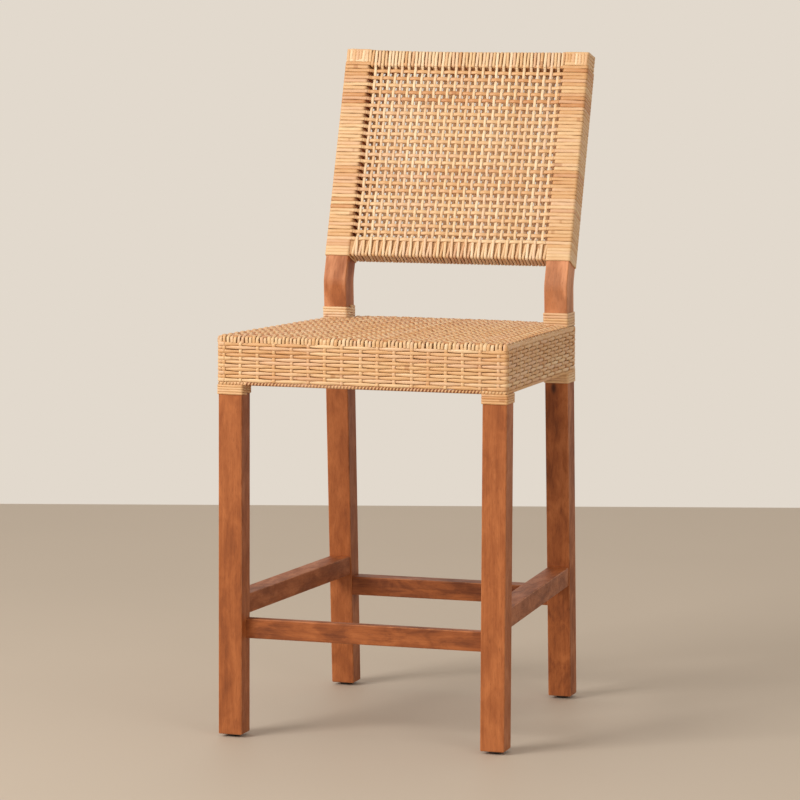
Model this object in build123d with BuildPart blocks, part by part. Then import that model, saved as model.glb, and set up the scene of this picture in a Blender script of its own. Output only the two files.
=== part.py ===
from build123d import *
import math
import os

# Counter stool with a footrest: a mortise-and-tenon hardwood frame, a box seat and a raked
# back, both covered with hand-woven rattan cane.  Millimetres, +Z up, the stool faces -Y.
# The origin is on the floor, under the middle of the stool's overall box.

# ---- driving dimensions --------------------------------------------------------------
WIDTH_FRONT = 458.0        # across the outer faces of the front legs
WIDTH_REAR = 411.0         # across the outer faces of the rear posts
LEG = 38.0                 # square section of the legs
DEPTH = 592.4              # front of the seat skirt to the rear edge of the back
SKIRT_PROUD = 2.6          # how far the skirt stands proud of the legs
Y_FRONT = SKIRT_PROUD - DEPTH / 2  # front face of the front legs
Y_POST = Y_FRONT + 427.0   # front face of the rear posts at their bend
POST_DEPTH_BEND = 43.0     # front-to-back size of the rear posts at the bend
FOOT_BACK = 50.0           # how far the rear posts' front face runs back at the floor
Z_BEND = 679.0             # height of the bend in the rear posts
RAKE = 18.25               # backward rake of the back, in degrees
RAKE_LENGTH = 392.5        # bend to the top edge of the back, along the rake
PANEL_BOTTOM = 41.5        # bend to the bottom edge of the back panel, along the rake
POST_DEPTH_RAKED = 41.2    # post section in the raked part
EDGE = 2.0                 # softened long edges of the wood
FOOT_CHAMFER = 1.4         # broken edge round the bottom of each leg
GLIDE_HEIGHT = 4.5
GLIDE_RADIUS = 10.0

SEAT_TOP = 622.5           # top of the woven deck, at its front edge
SEAT_DROP = 5.5            # the whole seat is this much lower at its rear edge
SEAT_LONG = 482.6          # front to rear over the skirt
SKIRT_TOP = 612.0          # under the deck's rolled rim
SKIRT_BOTTOM = 551.0       # last row of the skirt
BORDER_BOTTOM = 546.5      # beaded border under the skirt
DECK_THICK = 6.0
WEAVE = 5.0                # thickness of the skirt
SEAT_CORNER = 4.0          # rounding of the seat's corners in plan
PROUD = 2.0                # how far wrapped cane stands proud of the wood below it
WRAP_IN = 1.0              # wood is let in by this much under a cane wrapping

RAIL_THICK = 22.0          # seat rails
RAIL_BOTTOM = 553.0
RAIL_TOP = SEAT_TOP - DECK_THICK
BEARER_WIDTH = 40.0
BEARER_THICK = 12.0

STRETCHER_TALL = 30.5
FRONT_STRETCHER_TOP = 183.0
FRONT_STRETCHER_THICK = 18.0
SIDE_STRETCHER_TOP = 219.3
BACK_STRETCHER_TOP = 185.2
STRETCHER_INSET = 1.6      # side stretchers sit this far inside the leg faces
TENON = 20.0
TENON_SHOULDER = 7.0

COLLAR_FRONT_BOTTOM = 531.0
COLLAR_REAR_BOTTOM = 521.7
UPPER_COLLAR_TOP = 635.0

DOWEL_RADIUS = 4.0
DOWEL_LENGTH = 36.0
FIT = 0.05                 # radial clearance round dowels, nails and screws
SCREW_RADIUS = 2.5
SCREW_HEAD_RADIUS = 5.0

WEB_THICK = 3.0
WEB_SET_IN = 0.3
TOP_RAIL_TALL = 28.3       # wrapped rails of the back
BOTTOM_RAIL_TALL = 32.0

os.makedirs("parts", exist_ok=True)

half_front = WIDTH_FRONT / 2
half_rear = WIDTH_REAR / 2
sin_rake = math.sin(math.radians(RAKE))
cos_rake = math.cos(math.radians(RAKE))
post_inner = half_rear - LEG
leg_inner = half_front - LEG

# the raked plane: its X is the stool's X, its Y runs up the back, its Z points forward
rake_plane = Plane(
    origin=(0, Y_POST, Z_BEND), x_dir=(1, 0, 0), z_dir=(0, -cos_rake, sin_rake)
)


def raked(up, back):
    """A point of the raked part in the stool's Y and Z."""
    return (
        Y_POST + up * sin_rake + back * cos_rake,
        Z_BEND + up * cos_rake - back * sin_rake,
    )


# ---- outline of the seat -------------------------------------------------------------
seat_front_y = Y_FRONT - SKIRT_PROUD
seat_rear_y = seat_front_y + SEAT_LONG
seat_half_front = half_front + SKIRT_PROUD
seat_half_rear = half_rear + SKIRT_PROUD
seat_tilt = math.atan(SEAT_DROP / SEAT_LONG)
side_slope = (seat_half_front - seat_half_rear) / (seat_rear_y - seat_front_y)


def seat_half(y, inset):
    """Half width of the seat at a depth y, measured in from its outer face."""
    return seat_half_front - side_slope * (y - seat_front_y) - inset


def seat_corners(inset):
    """The seat's outline, moved in by an inset on all four sides."""
    front = seat_front_y + inset
    rear = seat_rear_y - inset
    return [
        (-seat_half(front, inset), front),
        (seat_half(front, inset), front),
        (seat_half(rear, inset), rear),
        (-seat_half(rear, inset), rear),
    ]


def seat_drop(y):
    """How much lower the seat is at a depth y than at its front edge."""
    return SEAT_DROP * (y - seat_front_y) / SEAT_LONG


def seat_level(height):
    """A sketch plane of the seat, given by its height at the front; it falls to the rear."""
    return Plane(
        origin=(0, 0, height - seat_drop(0)),
        x_dir=(1, 0, 0),
        z_dir=(0, math.sin(seat_tilt), math.cos(seat_tilt)),
    )


UPRIGHT = (0, 0, 1)        # the walls of the seat stay upright

# the whole height of the seat, from the border to the top of the deck
with BuildPart() as seat_slab:
    with BuildSketch(seat_level(BORDER_BOTTOM)):
        Rectangle(800, 900)
    extrude(amount=SEAT_TOP - BORDER_BOTTOM, dir=UPRIGHT)

# the volume inside the weave, which every wooden piece of the seat keeps to
with BuildPart() as seat_core:
    with BuildSketch(seat_level(BORDER_BOTTOM)):
        Polygon(*seat_corners(WEAVE), align=None)
    extrude(amount=SEAT_TOP - BORDER_BOTTOM, dir=UPRIGHT)

# everything outside it, between the border and the top of the deck
with BuildPart() as seat_outside:
    add(seat_slab.part)
    add(seat_core.part, mode=Mode.SUBTRACT)

# everything above the rails
with BuildPart() as above_rails:
    with BuildSketch(seat_level(RAIL_TOP)):
        Rectangle(800, 900)
    extrude(amount=40, dir=UPRIGHT)

# ---- front leg, right-hand one -------------------------------------------------------
leg_x = half_front - LEG / 2
leg_y = Y_FRONT + LEG / 2

with BuildPart() as front_leg_blank:
    with BuildSketch(Plane.XY.offset(GLIDE_HEIGHT)):
        with Locations((leg_x, leg_y)):
            Rectangle(LEG, LEG)
    extrude(amount=RAIL_TOP - GLIDE_HEIGHT)
    fillet(front_leg_blank.edges().filter_by(Axis.Z), radius=EDGE)
    chamfer(front_leg_blank.faces().sort_by(Axis.Z)[0].edges(), length=FOOT_CHAMFER)
    # the top of the leg is let in behind the woven skirt and ends under the deck
    add(seat_outside.part, mode=Mode.SUBTRACT)
    add(above_rails.part, mode=Mode.SUBTRACT)

with BuildPart() as front_collar_zone:
    with BuildSketch(Plane.XY.offset(COLLAR_FRONT_BOTTOM)):
        with Locations((leg_x, leg_y)):
            Rectangle(LEG + 2 * PROUD, LEG + 2 * PROUD)
            Rectangle(LEG - 2 * WRAP_IN, LEG - 2 * WRAP_IN, mode=Mode.SUBTRACT)
    extrude(amount=BORDER_BOTTOM - COLLAR_FRONT_BOTTOM)
    add(seat_slab.part, mode=Mode.SUBTRACT)

# ---- rear post, right-hand one -------------------------------------------------------
post_x = half_rear - LEG / 2
foot_front = Y_POST + FOOT_BACK
foot_rear = foot_front + LEG
post_rear_bend = Y_POST + POST_DEPTH_BEND
post_top = RAKE_LENGTH - PROUD


def post_front_y(z):
    """Front face of the lower part of the post at a height z."""
    return Y_POST + FOOT_BACK * (1 - z / Z_BEND)


# the rear face of the raked part meets the rear face of the lower part at this corner
bend_up = (post_rear_bend - Y_POST - POST_DEPTH_RAKED * cos_rake) / sin_rake
bend_corner = raked(bend_up, POST_DEPTH_RAKED)

with BuildPart() as post_blank:
    with BuildSketch(Plane.YZ.offset(post_inner)):
        with BuildLine():
            Polyline(
                (foot_front, GLIDE_HEIGHT),
                (Y_POST, Z_BEND),
                raked(post_top, 0),
                raked(post_top, POST_DEPTH_RAKED),
                bend_corner,
                (foot_rear, GLIDE_HEIGHT),
                close=True,
            )
        make_face()
    extrude(amount=LEG)
    # the bend is eased, front and rear
    bend_edges = post_blank.edges().filter_by(Axis.X).filter_by(
        lambda e: 600 < e.center().Z < 720
    )
    fillet(bend_edges, radius=40.0)
    long_edges = post_blank.edges().filter_by(
        lambda e: abs(e.tangent_at(0.5).Z) > 0.8
    )
    fillet(long_edges, radius=EDGE)
    chamfer(post_blank.faces().sort_by(Axis.Z)[0].edges(), length=FOOT_CHAMFER)
    add(seat_outside.part, mode=Mode.SUBTRACT)

# cane wrapping round the raked part: a sleeve that also caps the top of the post
sleeve_length = RAKE_LENGTH - PANEL_BOTTOM
sleeve_mid = (RAKE_LENGTH + PANEL_BOTTOM) / 2
with BuildPart() as post_sleeve_blank:
    with BuildSketch(rake_plane.offset(PROUD)):
        with Locations((post_x, sleeve_mid)):
            Rectangle(LEG + 2 * PROUD, sleeve_length)
    extrude(amount=-(POST_DEPTH_RAKED + 2 * PROUD))
    # every outer edge but the ones that meet the rails and the bare wood is rounded
    sleeve_top = post_sleeve_blank.faces().sort_by(Axis.Z)[-1]
    sleeve_outer = post_sleeve_blank.faces().sort_by(Axis.X)[-1]
    top_edges = sleeve_top.edges().filter_by(Axis.X)
    outer_edges = sleeve_outer.edges().sort_by(Axis.Z)[1:]
    fillet(top_edges + outer_edges, radius=4.0)

# the wood left inside that sleeve
with BuildPart() as post_sleeve_core:
    with BuildSketch(rake_plane.offset(-WRAP_IN)):
        with Locations((post_x, sleeve_mid - PROUD)):
            Rectangle(LEG - 2 * WRAP_IN, sleeve_length)
    extrude(amount=-(POST_DEPTH_RAKED - 2 * WRAP_IN))

with BuildPart() as post_sleeve_zone:
    with BuildSketch(rake_plane.offset(20)):
        with Locations((post_x, sleeve_mid + 20)):
            Rectangle(LEG + 40, sleeve_length + 40)
    extrude(amount=-(POST_DEPTH_RAKED + 40))
    add(post_sleeve_core.part, mode=Mode.SUBTRACT)

# cane collars round the lower part of the post, below and above the seat
with BuildPart() as post_grown:
    with BuildSketch(Plane.YZ.offset(post_inner - PROUD)):
        with BuildLine():
            Polyline(
                (foot_front - PROUD, 0),
                (Y_POST - PROUD, Z_BEND),
                (post_rear_bend + PROUD, Z_BEND),
                (foot_rear + PROUD, 0),
                close=True,
            )
        make_face()
    extrude(amount=LEG + 2 * PROUD)
    fillet(post_grown.edges().filter_by(lambda e: e.length > 500), radius=3.0)

with BuildPart() as post_shrunk:
    with BuildSketch(Plane.YZ.offset(post_inner + WRAP_IN)):
        with BuildLine():
            Polyline(
                (foot_front + WRAP_IN, 0),
                (Y_POST + WRAP_IN, Z_BEND),
                (post_rear_bend - WRAP_IN, Z_BEND),
                (foot_rear - WRAP_IN, 0),
                close=True,
            )
        make_face()
    extrude(amount=LEG - 2 * WRAP_IN)

with BuildPart() as rear_collar_right:
    with BuildSketch(Plane.XY.offset(COLLAR_REAR_BOTTOM)):
        with Locations((post_x, Y_POST + 30)):
            Rectangle(100, 140)
    extrude(amount=BORDER_BOTTOM - COLLAR_REAR_BOTTOM)
    add(post_grown.part, mode=Mode.INTERSECT)
    add(post_shrunk.part, mode=Mode.SUBTRACT)
    add(seat_slab.part, mode=Mode.SUBTRACT)

with BuildPart() as upper_collar_right:
    with BuildSketch(Plane.XY.offset(SEAT_TOP - 2 * SEAT_DROP)):
        with Locations((post_x, Y_POST + 30)):
            Rectangle(100, 140)
    extrude(amount=UPPER_COLLAR_TOP - SEAT_TOP + 2 * SEAT_DROP)
    add(post_grown.part, mode=Mode.INTERSECT)
    add(post_shrunk.part, mode=Mode.SUBTRACT)
    add(seat_slab.part, mode=Mode.SUBTRACT)

with BuildPart() as front_collar_right:
    add(front_collar_zone.part)
    collar_edges = front_collar_right.edges().filter_by(Axis.Z)
    outer_collar_edges = collar_edges.sort_by_distance((leg_x, leg_y, 540))[-4:]
    fillet(outer_collar_edges, radius=3.0)

with BuildPart() as front_leg_bare:
    add(front_leg_blank.part)
    add(front_collar_zone.part, mode=Mode.SUBTRACT)

with BuildPart() as post_bare:
    add(post_blank.part)
    add(post_sleeve_zone.part, mode=Mode.SUBTRACT)
    add(rear_collar_right.part, mode=Mode.SUBTRACT)
    add(upper_collar_right.part, mode=Mode.SUBTRACT)

# ---- stretchers with their tenons ----------------------------------------------------
front_stretcher_y = Y_FRONT + LEG - FRONT_STRETCHER_THICK / 2
front_stretcher_z = FRONT_STRETCHER_TOP - STRETCHER_TALL / 2
with BuildPart() as front_stretcher:
    with BuildSketch(Plane.YZ):
        with Locations((front_stretcher_y, front_stretcher_z)):
            Rectangle(FRONT_STRETCHER_THICK, STRETCHER_TALL)
    extrude(amount=leg_inner, both=True)
    fillet(front_stretcher.edges().filter_by(Axis.X), radius=2.0)
    with BuildSketch(Plane.YZ):
        with Locations((front_stretcher_y, front_stretcher_z)):
            Rectangle(FRONT_STRETCHER_THICK - 8, STRETCHER_TALL - TENON_SHOULDER)
    extrude(amount=leg_inner + TENON, both=True)

back_stretcher_z = BACK_STRETCHER_TOP - STRETCHER_TALL / 2
back_stretcher_front = post_front_y(back_stretcher_z) + 3.0
back_stretcher_thick = 34.0
back_stretcher_y = back_stretcher_front + back_stretcher_thick / 2
with BuildPart() as back_stretcher:
    with BuildSketch(Plane.YZ):
        with Locations((back_stretcher_y, back_stretcher_z)):
            Rectangle(back_stretcher_thick, STRETCHER_TALL)
    extrude(amount=post_inner, both=True)
    fillet(back_stretcher.edges().filter_by(Axis.X), radius=2.0)
    with BuildSketch(Plane.YZ):
        with Locations((back_stretcher_y + 3, back_stretcher_z)):
            Rectangle(12, STRETCHER_TALL - TENON_SHOULDER)
    extrude(amount=post_inner + TENON, both=True)

# side stretcher: it follows the taper of the stool in plan
side_z = SIDE_STRETCHER_TOP - STRETCHER_TALL / 2
side_start_y = Y_FRONT + LEG
side_end_y = post_front_y(side_z) + 12.0
side_run = post_front_y(side_z) - side_start_y
side_shift = (half_front - half_rear) / side_run
side_outer = half_front - STRETCHER_INSET
side_inner = leg_inner + STRETCHER_INSET
with BuildPart() as right_stretcher:
    with BuildSketch(Plane.XY.offset(side_z - STRETCHER_TALL / 2)):
        Polygon(
            (side_inner, side_start_y),
            (side_outer, side_start_y),
            (side_outer - side_shift * (side_end_y - side_start_y), side_end_y),
            (side_inner - side_shift * (side_end_y - side_start_y), side_end_y),
            align=None,
        )
    extrude(amount=STRETCHER_TALL)
    long_side_edges = right_stretcher.edges().filter_by(lambda e: e.length > 300)
    fillet(long_side_edges, radius=2.0)
    add(post_bare.part, mode=Mode.SUBTRACT)
    right_stretcher_body = right_stretcher.part.solids().sort_by(Axis.Y)[0]

side_mid = (side_outer + side_inner) / 2
tenon_start_y = side_start_y - TENON
tenon_end_y = post_front_y(side_z) + TENON
with BuildPart() as side_stretcher_right:
    add(right_stretcher_body)
    with BuildSketch(Plane.XY.offset(side_z - STRETCHER_TALL / 2 + TENON_SHOULDER / 2)):
        Polygon(
            (side_mid - 6 + side_shift * TENON, tenon_start_y),
            (side_mid + 6 + side_shift * TENON, tenon_start_y),
            (side_mid + 6 - side_shift * (tenon_end_y - side_start_y), tenon_end_y),
            (side_mid - 6 - side_shift * (tenon_end_y - side_start_y), tenon_end_y),
            align=None,
        )
    extrude(amount=STRETCHER_TALL - TENON_SHOULDER)

# ---- seat rails ----------------------------------------------------------------------
rail_mid_z = (RAIL_BOTTOM + RAIL_TOP) / 2
rail_tall = RAIL_TOP - RAIL_BOTTOM
front_rail_y = seat_front_y + WEAVE + RAIL_THICK / 2
rear_rail_y = seat_rear_y - WEAVE - RAIL_THICK / 2

with BuildPart() as front_rail_bare:
    with BuildSketch(seat_level(RAIL_BOTTOM)):
        with Locations((0, front_rail_y)):
            Rectangle(2 * leg_inner, RAIL_THICK)
    extrude(amount=rail_tall, dir=UPRIGHT)

with BuildPart() as rear_rail_bare:
    with BuildSketch(seat_level(RAIL_BOTTOM)):
        with Locations((0, rear_rail_y)):
            Rectangle(2 * post_inner, RAIL_THICK)
    extrude(amount=rail_tall, dir=UPRIGHT)

rail_start_y = Y_FRONT + LEG
rail_end_y = post_front_y(RAIL_BOTTOM) + 8.0
with BuildPart() as side_rail_long:
    with BuildSketch(seat_level(RAIL_BOTTOM)):
        Polygon(
            (seat_half(rail_start_y, WEAVE + RAIL_THICK), rail_start_y),
            (seat_half(rail_start_y, WEAVE), rail_start_y),
            (seat_half(rail_end_y, WEAVE), rail_end_y),
            (seat_half(rail_end_y, WEAVE + RAIL_THICK), rail_end_y),
            align=None,
        )
    extrude(amount=rail_tall, dir=UPRIGHT)
    add(post_bare.part, mode=Mode.SUBTRACT)
side_rail_body = side_rail_long.part.solids().sort_by(SortBy.VOLUME)[-1]

# deck bearers run front to back and are housed in the front and rear rails
bearer_x = 72.0
bearer_front = front_rail_y + RAIL_THICK / 2 - 10
bearer_rear = rear_rail_y - RAIL_THICK / 2 + 10
with BuildPart() as seat_bearer_right:
    with BuildSketch(seat_level(RAIL_TOP - BEARER_THICK)):
        with Locations((bearer_x, (bearer_front + bearer_rear) / 2)):
            Rectangle(BEARER_WIDTH, bearer_rear - bearer_front)
    extrude(amount=BEARER_THICK, dir=UPRIGHT)

with BuildPart() as seat_bearer_left:
    mirror(seat_bearer_right.part, about=Plane.YZ)

# ---- dowels --------------------------------------------------------------------------
front_dowel_z = [rail_mid_z - 15, rail_mid_z + 15]
side_dowel_z = [rail_mid_z - 22, rail_mid_z + 22]
side_dowel_front_x = seat_half(rail_start_y, WEAVE + RAIL_THICK / 2)
side_dowel_rear_x = seat_half(post_front_y(rail_mid_z), WEAVE + RAIL_THICK / 2)


def dowel_set(radius):
    """All dowels on the right-hand side of the stool, or the holes they sit in."""
    with BuildPart() as dowels:
        # front and rear rails, into the leg and the post
        with BuildSketch(Plane.YZ.offset(leg_inner - DOWEL_LENGTH / 2)):
            with Locations(*[(front_rail_y, z - seat_drop(front_rail_y)) for z in front_dowel_z]):
                Circle(radius)
        extrude(amount=DOWEL_LENGTH)
        with BuildSketch(Plane.YZ.offset(post_inner - DOWEL_LENGTH / 2)):
            with Locations(*[(rear_rail_y, z - seat_drop(rear_rail_y)) for z in front_dowel_z]):
                Circle(radius)
        extrude(amount=DOWEL_LENGTH)
        # side rail, into the leg and the post
        with BuildSketch(Plane.XZ.offset(-(rail_start_y + DOWEL_LENGTH / 2))):
            with Locations(*[(side_dowel_front_x, z - seat_drop(rail_start_y)) for z in side_dowel_z]):
                Circle(radius)
        extrude(amount=DOWEL_LENGTH)
        post_face_y = post_front_y(rail_mid_z)
        with BuildSketch(Plane.XZ.offset(-(post_face_y + DOWEL_LENGTH / 2))):
            with Locations(*[(side_dowel_rear_x, z - seat_drop(post_face_y)) for z in side_dowel_z]):
                Circle(radius)
        extrude(amount=DOWEL_LENGTH)
        # top and bottom rails of the back, two side by side at each joint
        for up in back_rail_mids:
            for back in back_dowel_backs:
                dowel_y, dowel_z = raked(up, back)
                with BuildSketch(Plane.YZ.offset(post_inner + WRAP_IN - DOWEL_LENGTH / 2)):
                    with Locations((dowel_y, dowel_z)):
                        Circle(radius)
                extrude(amount=DOWEL_LENGTH)
    return dowels.part


# ---- rails of the back ---------------------------------------------------------------
wrap = PROUD + WRAP_IN
top_rail_up = RAKE_LENGTH - TOP_RAIL_TALL / 2
bottom_rail_up = PANEL_BOTTOM + BOTTOM_RAIL_TALL / 2
back_rail_mids = [bottom_rail_up, top_rail_up]
back_dowel_backs = [POST_DEPTH_RAKED / 2 - 9, POST_DEPTH_RAKED / 2 + 9]
rail_end_x = post_inner + WRAP_IN

with BuildPart() as top_rail_bare:
    with BuildSketch(rake_plane.offset(-WRAP_IN)):
        with Locations((0, top_rail_up)):
            Rectangle(2 * rail_end_x, TOP_RAIL_TALL - 2 * wrap)
    extrude(amount=-(POST_DEPTH_RAKED - 2 * WRAP_IN))

with BuildPart() as bottom_rail_bare:
    with BuildSketch(rake_plane.offset(-WRAP_IN)):
        with Locations((0, bottom_rail_up)):
            Rectangle(2 * rail_end_x, BOTTOM_RAIL_TALL - 2 * wrap)
    extrude(amount=-(POST_DEPTH_RAKED - 2 * WRAP_IN))

wrap_end_x = post_inner - PROUD
with BuildPart() as top_rail_wrap:
    with BuildSketch(rake_plane.offset(PROUD)):
        with Locations((0, top_rail_up)):
            Rectangle(2 * wrap_end_x, TOP_RAIL_TALL)
    extrude(amount=-(POST_DEPTH_RAKED + 2 * PROUD))
    top_wrap_edges = top_rail_wrap.faces().sort_by(Axis.Z)[-1].edges().filter_by(Axis.X)
    fillet(top_wrap_edges, radius=5.0)
    add(top_rail_bare.part, mode=Mode.SUBTRACT)

with BuildPart() as bottom_rail_wrap:
    with BuildSketch(rake_plane.offset(PROUD)):
        with Locations((0, bottom_rail_up)):
            Rectangle(2 * wrap_end_x, BOTTOM_RAIL_TALL)
    extrude(amount=-(POST_DEPTH_RAKED + 2 * PROUD))
    fillet(bottom_rail_wrap.edges().filter_by(Axis.X), radius=3.0)
    add(bottom_rail_bare.part, mode=Mode.SUBTRACT)

dowels_right = dowel_set(DOWEL_RADIUS)
dowel_holes_right = dowel_set(DOWEL_RADIUS + FIT)

with BuildPart() as rail_dowels:
    add(dowels_right)
    mirror(dowels_right, about=Plane.YZ)

with BuildPart() as dowel_holes:
    add(dowel_holes_right)
    mirror(dowel_holes_right, about=Plane.YZ)

# ---- corner blocks and their screws --------------------------------------------------
BLOCK_TALL = 34.0
block_bottom = rail_mid_z - BLOCK_TALL / 2
front_face = front_rail_y + RAIL_THICK / 2
rear_face = rear_rail_y - RAIL_THICK / 2
front_side_x = seat_half(front_face, WEAVE + RAIL_THICK)
rear_side_x = seat_half(rear_face, WEAVE + RAIL_THICK)
front_block_out = 62.0
rear_block_out = 64.0

with BuildPart() as front_block_bare:
    with BuildSketch(seat_level(block_bottom)):
        Polygon(
            (front_side_x - front_block_out, front_face),
            (front_side_x + 20, front_face),
            (front_side_x + 20, front_face + front_block_out),
            (front_side_x, front_face + front_block_out),
            align=None,
        )
    extrude(amount=BLOCK_TALL, dir=UPRIGHT)
    add(front_leg_bare.part, mode=Mode.SUBTRACT)
    add(side_rail_body, mode=Mode.SUBTRACT)
front_block_body = front_block_bare.part.solids().sort_by(SortBy.VOLUME)[-1]

with BuildPart() as rear_block_bare:
    with BuildSketch(seat_level(block_bottom)):
        Polygon(
            (rear_side_x - rear_block_out, rear_face),
            (rear_side_x, rear_face - rear_block_out),
            (rear_side_x + 20, rear_face - rear_block_out),
            (rear_side_x + 20, rear_face),
            align=None,
        )
    extrude(amount=BLOCK_TALL, dir=UPRIGHT)
    add(post_bare.part, mode=Mode.SUBTRACT)
    add(side_rail_body, mode=Mode.SUBTRACT)
rear_block_body = rear_block_bare.part.solids().sort_by(SortBy.VOLUME)[-1]

# each screw runs square through the block's long face into the corner of the leg
diagonal = math.sqrt(0.5)
front_corner = (leg_inner, Y_FRONT + LEG)
rear_corner = (post_inner, post_front_y(rail_mid_z))


def screw(corner, run_y, grow):
    """A round-headed screw aimed at a leg corner, or the hole it sits in."""
    under_head = screw_reach(corner, run_y) + FIT
    head = Plane(
        origin=(
            corner[0] - diagonal * under_head,
            corner[1] - run_y * diagonal * under_head,
            rail_mid_z - seat_drop(corner[1]),
        ),
        z_dir=(diagonal, run_y * diagonal, 0),
    )
    with BuildPart() as result:
        with BuildSketch(head):
            Circle(SCREW_RADIUS + grow)
        extrude(amount=screw_reach(corner, run_y) + 14)
        if grow == 0:
            with BuildSketch(head):
                Circle(SCREW_HEAD_RADIUS)
            extrude(amount=-3.0)
    return result.part


def screw_reach(corner, run_y):
    """Distance from the block's long face to the leg corner, along the screw."""
    if run_y < 0:
        start = (front_side_x - front_block_out, front_face)
        return ((corner[0] - start[0]) - (corner[1] - start[1])) * diagonal
    start = (rear_side_x - rear_block_out, rear_face)
    return ((corner[0] - start[0]) + (corner[1] - start[1])) * diagonal


front_screw = screw(front_corner, -1, 0)
rear_screw = screw(rear_corner, 1, 0)
front_screw_hole = screw(front_corner, -1, FIT)
rear_screw_hole = screw(rear_corner, 1, FIT)

with BuildPart() as corner_block_screws:
    add(front_screw)
    add(rear_screw)
    mirror(front_screw, about=Plane.YZ)
    mirror(rear_screw, about=Plane.YZ)

with BuildPart() as corner_block_front_right:
    add(front_block_body)
    add(front_screw_hole, mode=Mode.SUBTRACT)

with BuildPart() as corner_block_rear_right:
    add(rear_block_body)
    add(rear_screw_hole, mode=Mode.SUBTRACT)

with BuildPart() as corner_block_front_left:
    mirror(corner_block_front_right.part, about=Plane.YZ)

with BuildPart() as corner_block_rear_left:
    mirror(corner_block_rear_right.part, about=Plane.YZ)

# ---- glides under the legs, and their nails ------------------------------------------
foot_points = [
    (leg_x, leg_y),
    (-leg_x, leg_y),
    (post_x, (foot_front + foot_rear) / 2),
    (-post_x, (foot_front + foot_rear) / 2),
]
NAIL_RADIUS = 1.5
NAIL_HEAD_RADIUS = 3.5
NAIL_LENGTH = 18.0

with BuildPart() as floor_glides:
    with BuildSketch(Plane.XY):
        with Locations(*foot_points):
            Circle(GLIDE_RADIUS)
    extrude(amount=GLIDE_HEIGHT)
    fillet(floor_glides.edges().group_by(Axis.Z)[0], radius=1.2)
    with BuildSketch(Plane.XY.offset(1.0)):
        with Locations(*foot_points):
            Circle(NAIL_HEAD_RADIUS)
    extrude(amount=-1.0, mode=Mode.SUBTRACT)
    with BuildSketch(Plane.XY):
        with Locations(*foot_points):
            Circle(NAIL_RADIUS)
    extrude(amount=GLIDE_HEIGHT, mode=Mode.SUBTRACT)

with BuildPart() as glide_nails:
    with BuildSketch(Plane.XY.offset(0.2)):
        with Locations(*foot_points):
            Circle(NAIL_HEAD_RADIUS)
    extrude(amount=0.8)
    with BuildSketch(Plane.XY.offset(1.0)):
        with Locations(*foot_points):
            Circle(NAIL_RADIUS)
    extrude(amount=NAIL_LENGTH)

with BuildPart() as nail_holes:
    with BuildSketch(Plane.XY.offset(GLIDE_HEIGHT)):
        with Locations(*foot_points):
            Circle(NAIL_RADIUS + FIT)
    extrude(amount=NAIL_LENGTH + 1.0 - GLIDE_HEIGHT)

# ---- finished wooden frame -----------------------------------------------------------
with BuildPart() as front_leg_right:
    add(front_leg_bare.part)
    add(front_stretcher.part, mode=Mode.SUBTRACT)
    add(side_stretcher_right.part, mode=Mode.SUBTRACT)
    add(dowel_holes.part, mode=Mode.SUBTRACT)
    add(front_screw_hole, mode=Mode.SUBTRACT)
    add(nail_holes.part, mode=Mode.SUBTRACT)

with BuildPart() as rear_post_right:
    add(post_bare.part)
    add(back_stretcher.part, mode=Mode.SUBTRACT)
    add(side_stretcher_right.part, mode=Mode.SUBTRACT)
    add(dowel_holes.part, mode=Mode.SUBTRACT)
    add(rear_screw_hole, mode=Mode.SUBTRACT)
    add(nail_holes.part, mode=Mode.SUBTRACT)

with BuildPart() as front_leg_left:
    mirror(front_leg_right.part, about=Plane.YZ)

with BuildPart() as rear_post_left:
    mirror(rear_post_right.part, about=Plane.YZ)

with BuildPart() as side_stretcher_left:
    mirror(side_stretcher_right.part, about=Plane.YZ)

with BuildPart() as seat_rail_front:
    add(front_rail_bare.part)
    add(seat_bearer_left.part, mode=Mode.SUBTRACT)
    add(seat_bearer_right.part, mode=Mode.SUBTRACT)
    add(dowel_holes.part, mode=Mode.SUBTRACT)

with BuildPart() as seat_rail_rear:
    add(rear_rail_bare.part)
    add(seat_bearer_left.part, mode=Mode.SUBTRACT)
    add(seat_bearer_right.part, mode=Mode.SUBTRACT)
    add(dowel_holes.part, mode=Mode.SUBTRACT)

with BuildPart() as seat_rail_right:
    add(side_rail_body)
    add(dowel_holes.part, mode=Mode.SUBTRACT)

with BuildPart() as seat_rail_left:
    mirror(seat_rail_right.part, about=Plane.YZ)

with BuildPart() as back_top_rail:
    add(top_rail_bare.part)
    add(dowel_holes.part, mode=Mode.SUBTRACT)

with BuildPart() as back_bottom_rail:
    add(bottom_rail_bare.part)
    add(dowel_holes.part, mode=Mode.SUBTRACT)

# ---- woven seat ----------------------------------------------------------------------
with BuildPart() as seat_deck:
    with BuildSketch(seat_level(SKIRT_TOP)):
        Polygon(*seat_corners(0), align=None)
    extrude(amount=SEAT_TOP - SKIRT_TOP, dir=UPRIGHT)
    fillet(seat_deck.edges().filter_by(Axis.Z), radius=SEAT_CORNER)
    fillet(seat_deck.faces().sort_by(Axis.Z)[-1].edges(), radius=3.0)
    # the rim rolls down over the rails, the rest lies on top of them
    with BuildSketch(seat_level(SKIRT_TOP)):
        Polygon(*seat_corners(WEAVE), align=None)
    extrude(amount=RAIL_TOP - SKIRT_TOP, dir=UPRIGHT, mode=Mode.SUBTRACT)
    add(post_bare.part, mode=Mode.SUBTRACT)
    add(mirror(post_bare.part, about=Plane.YZ), mode=Mode.SUBTRACT)


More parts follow.
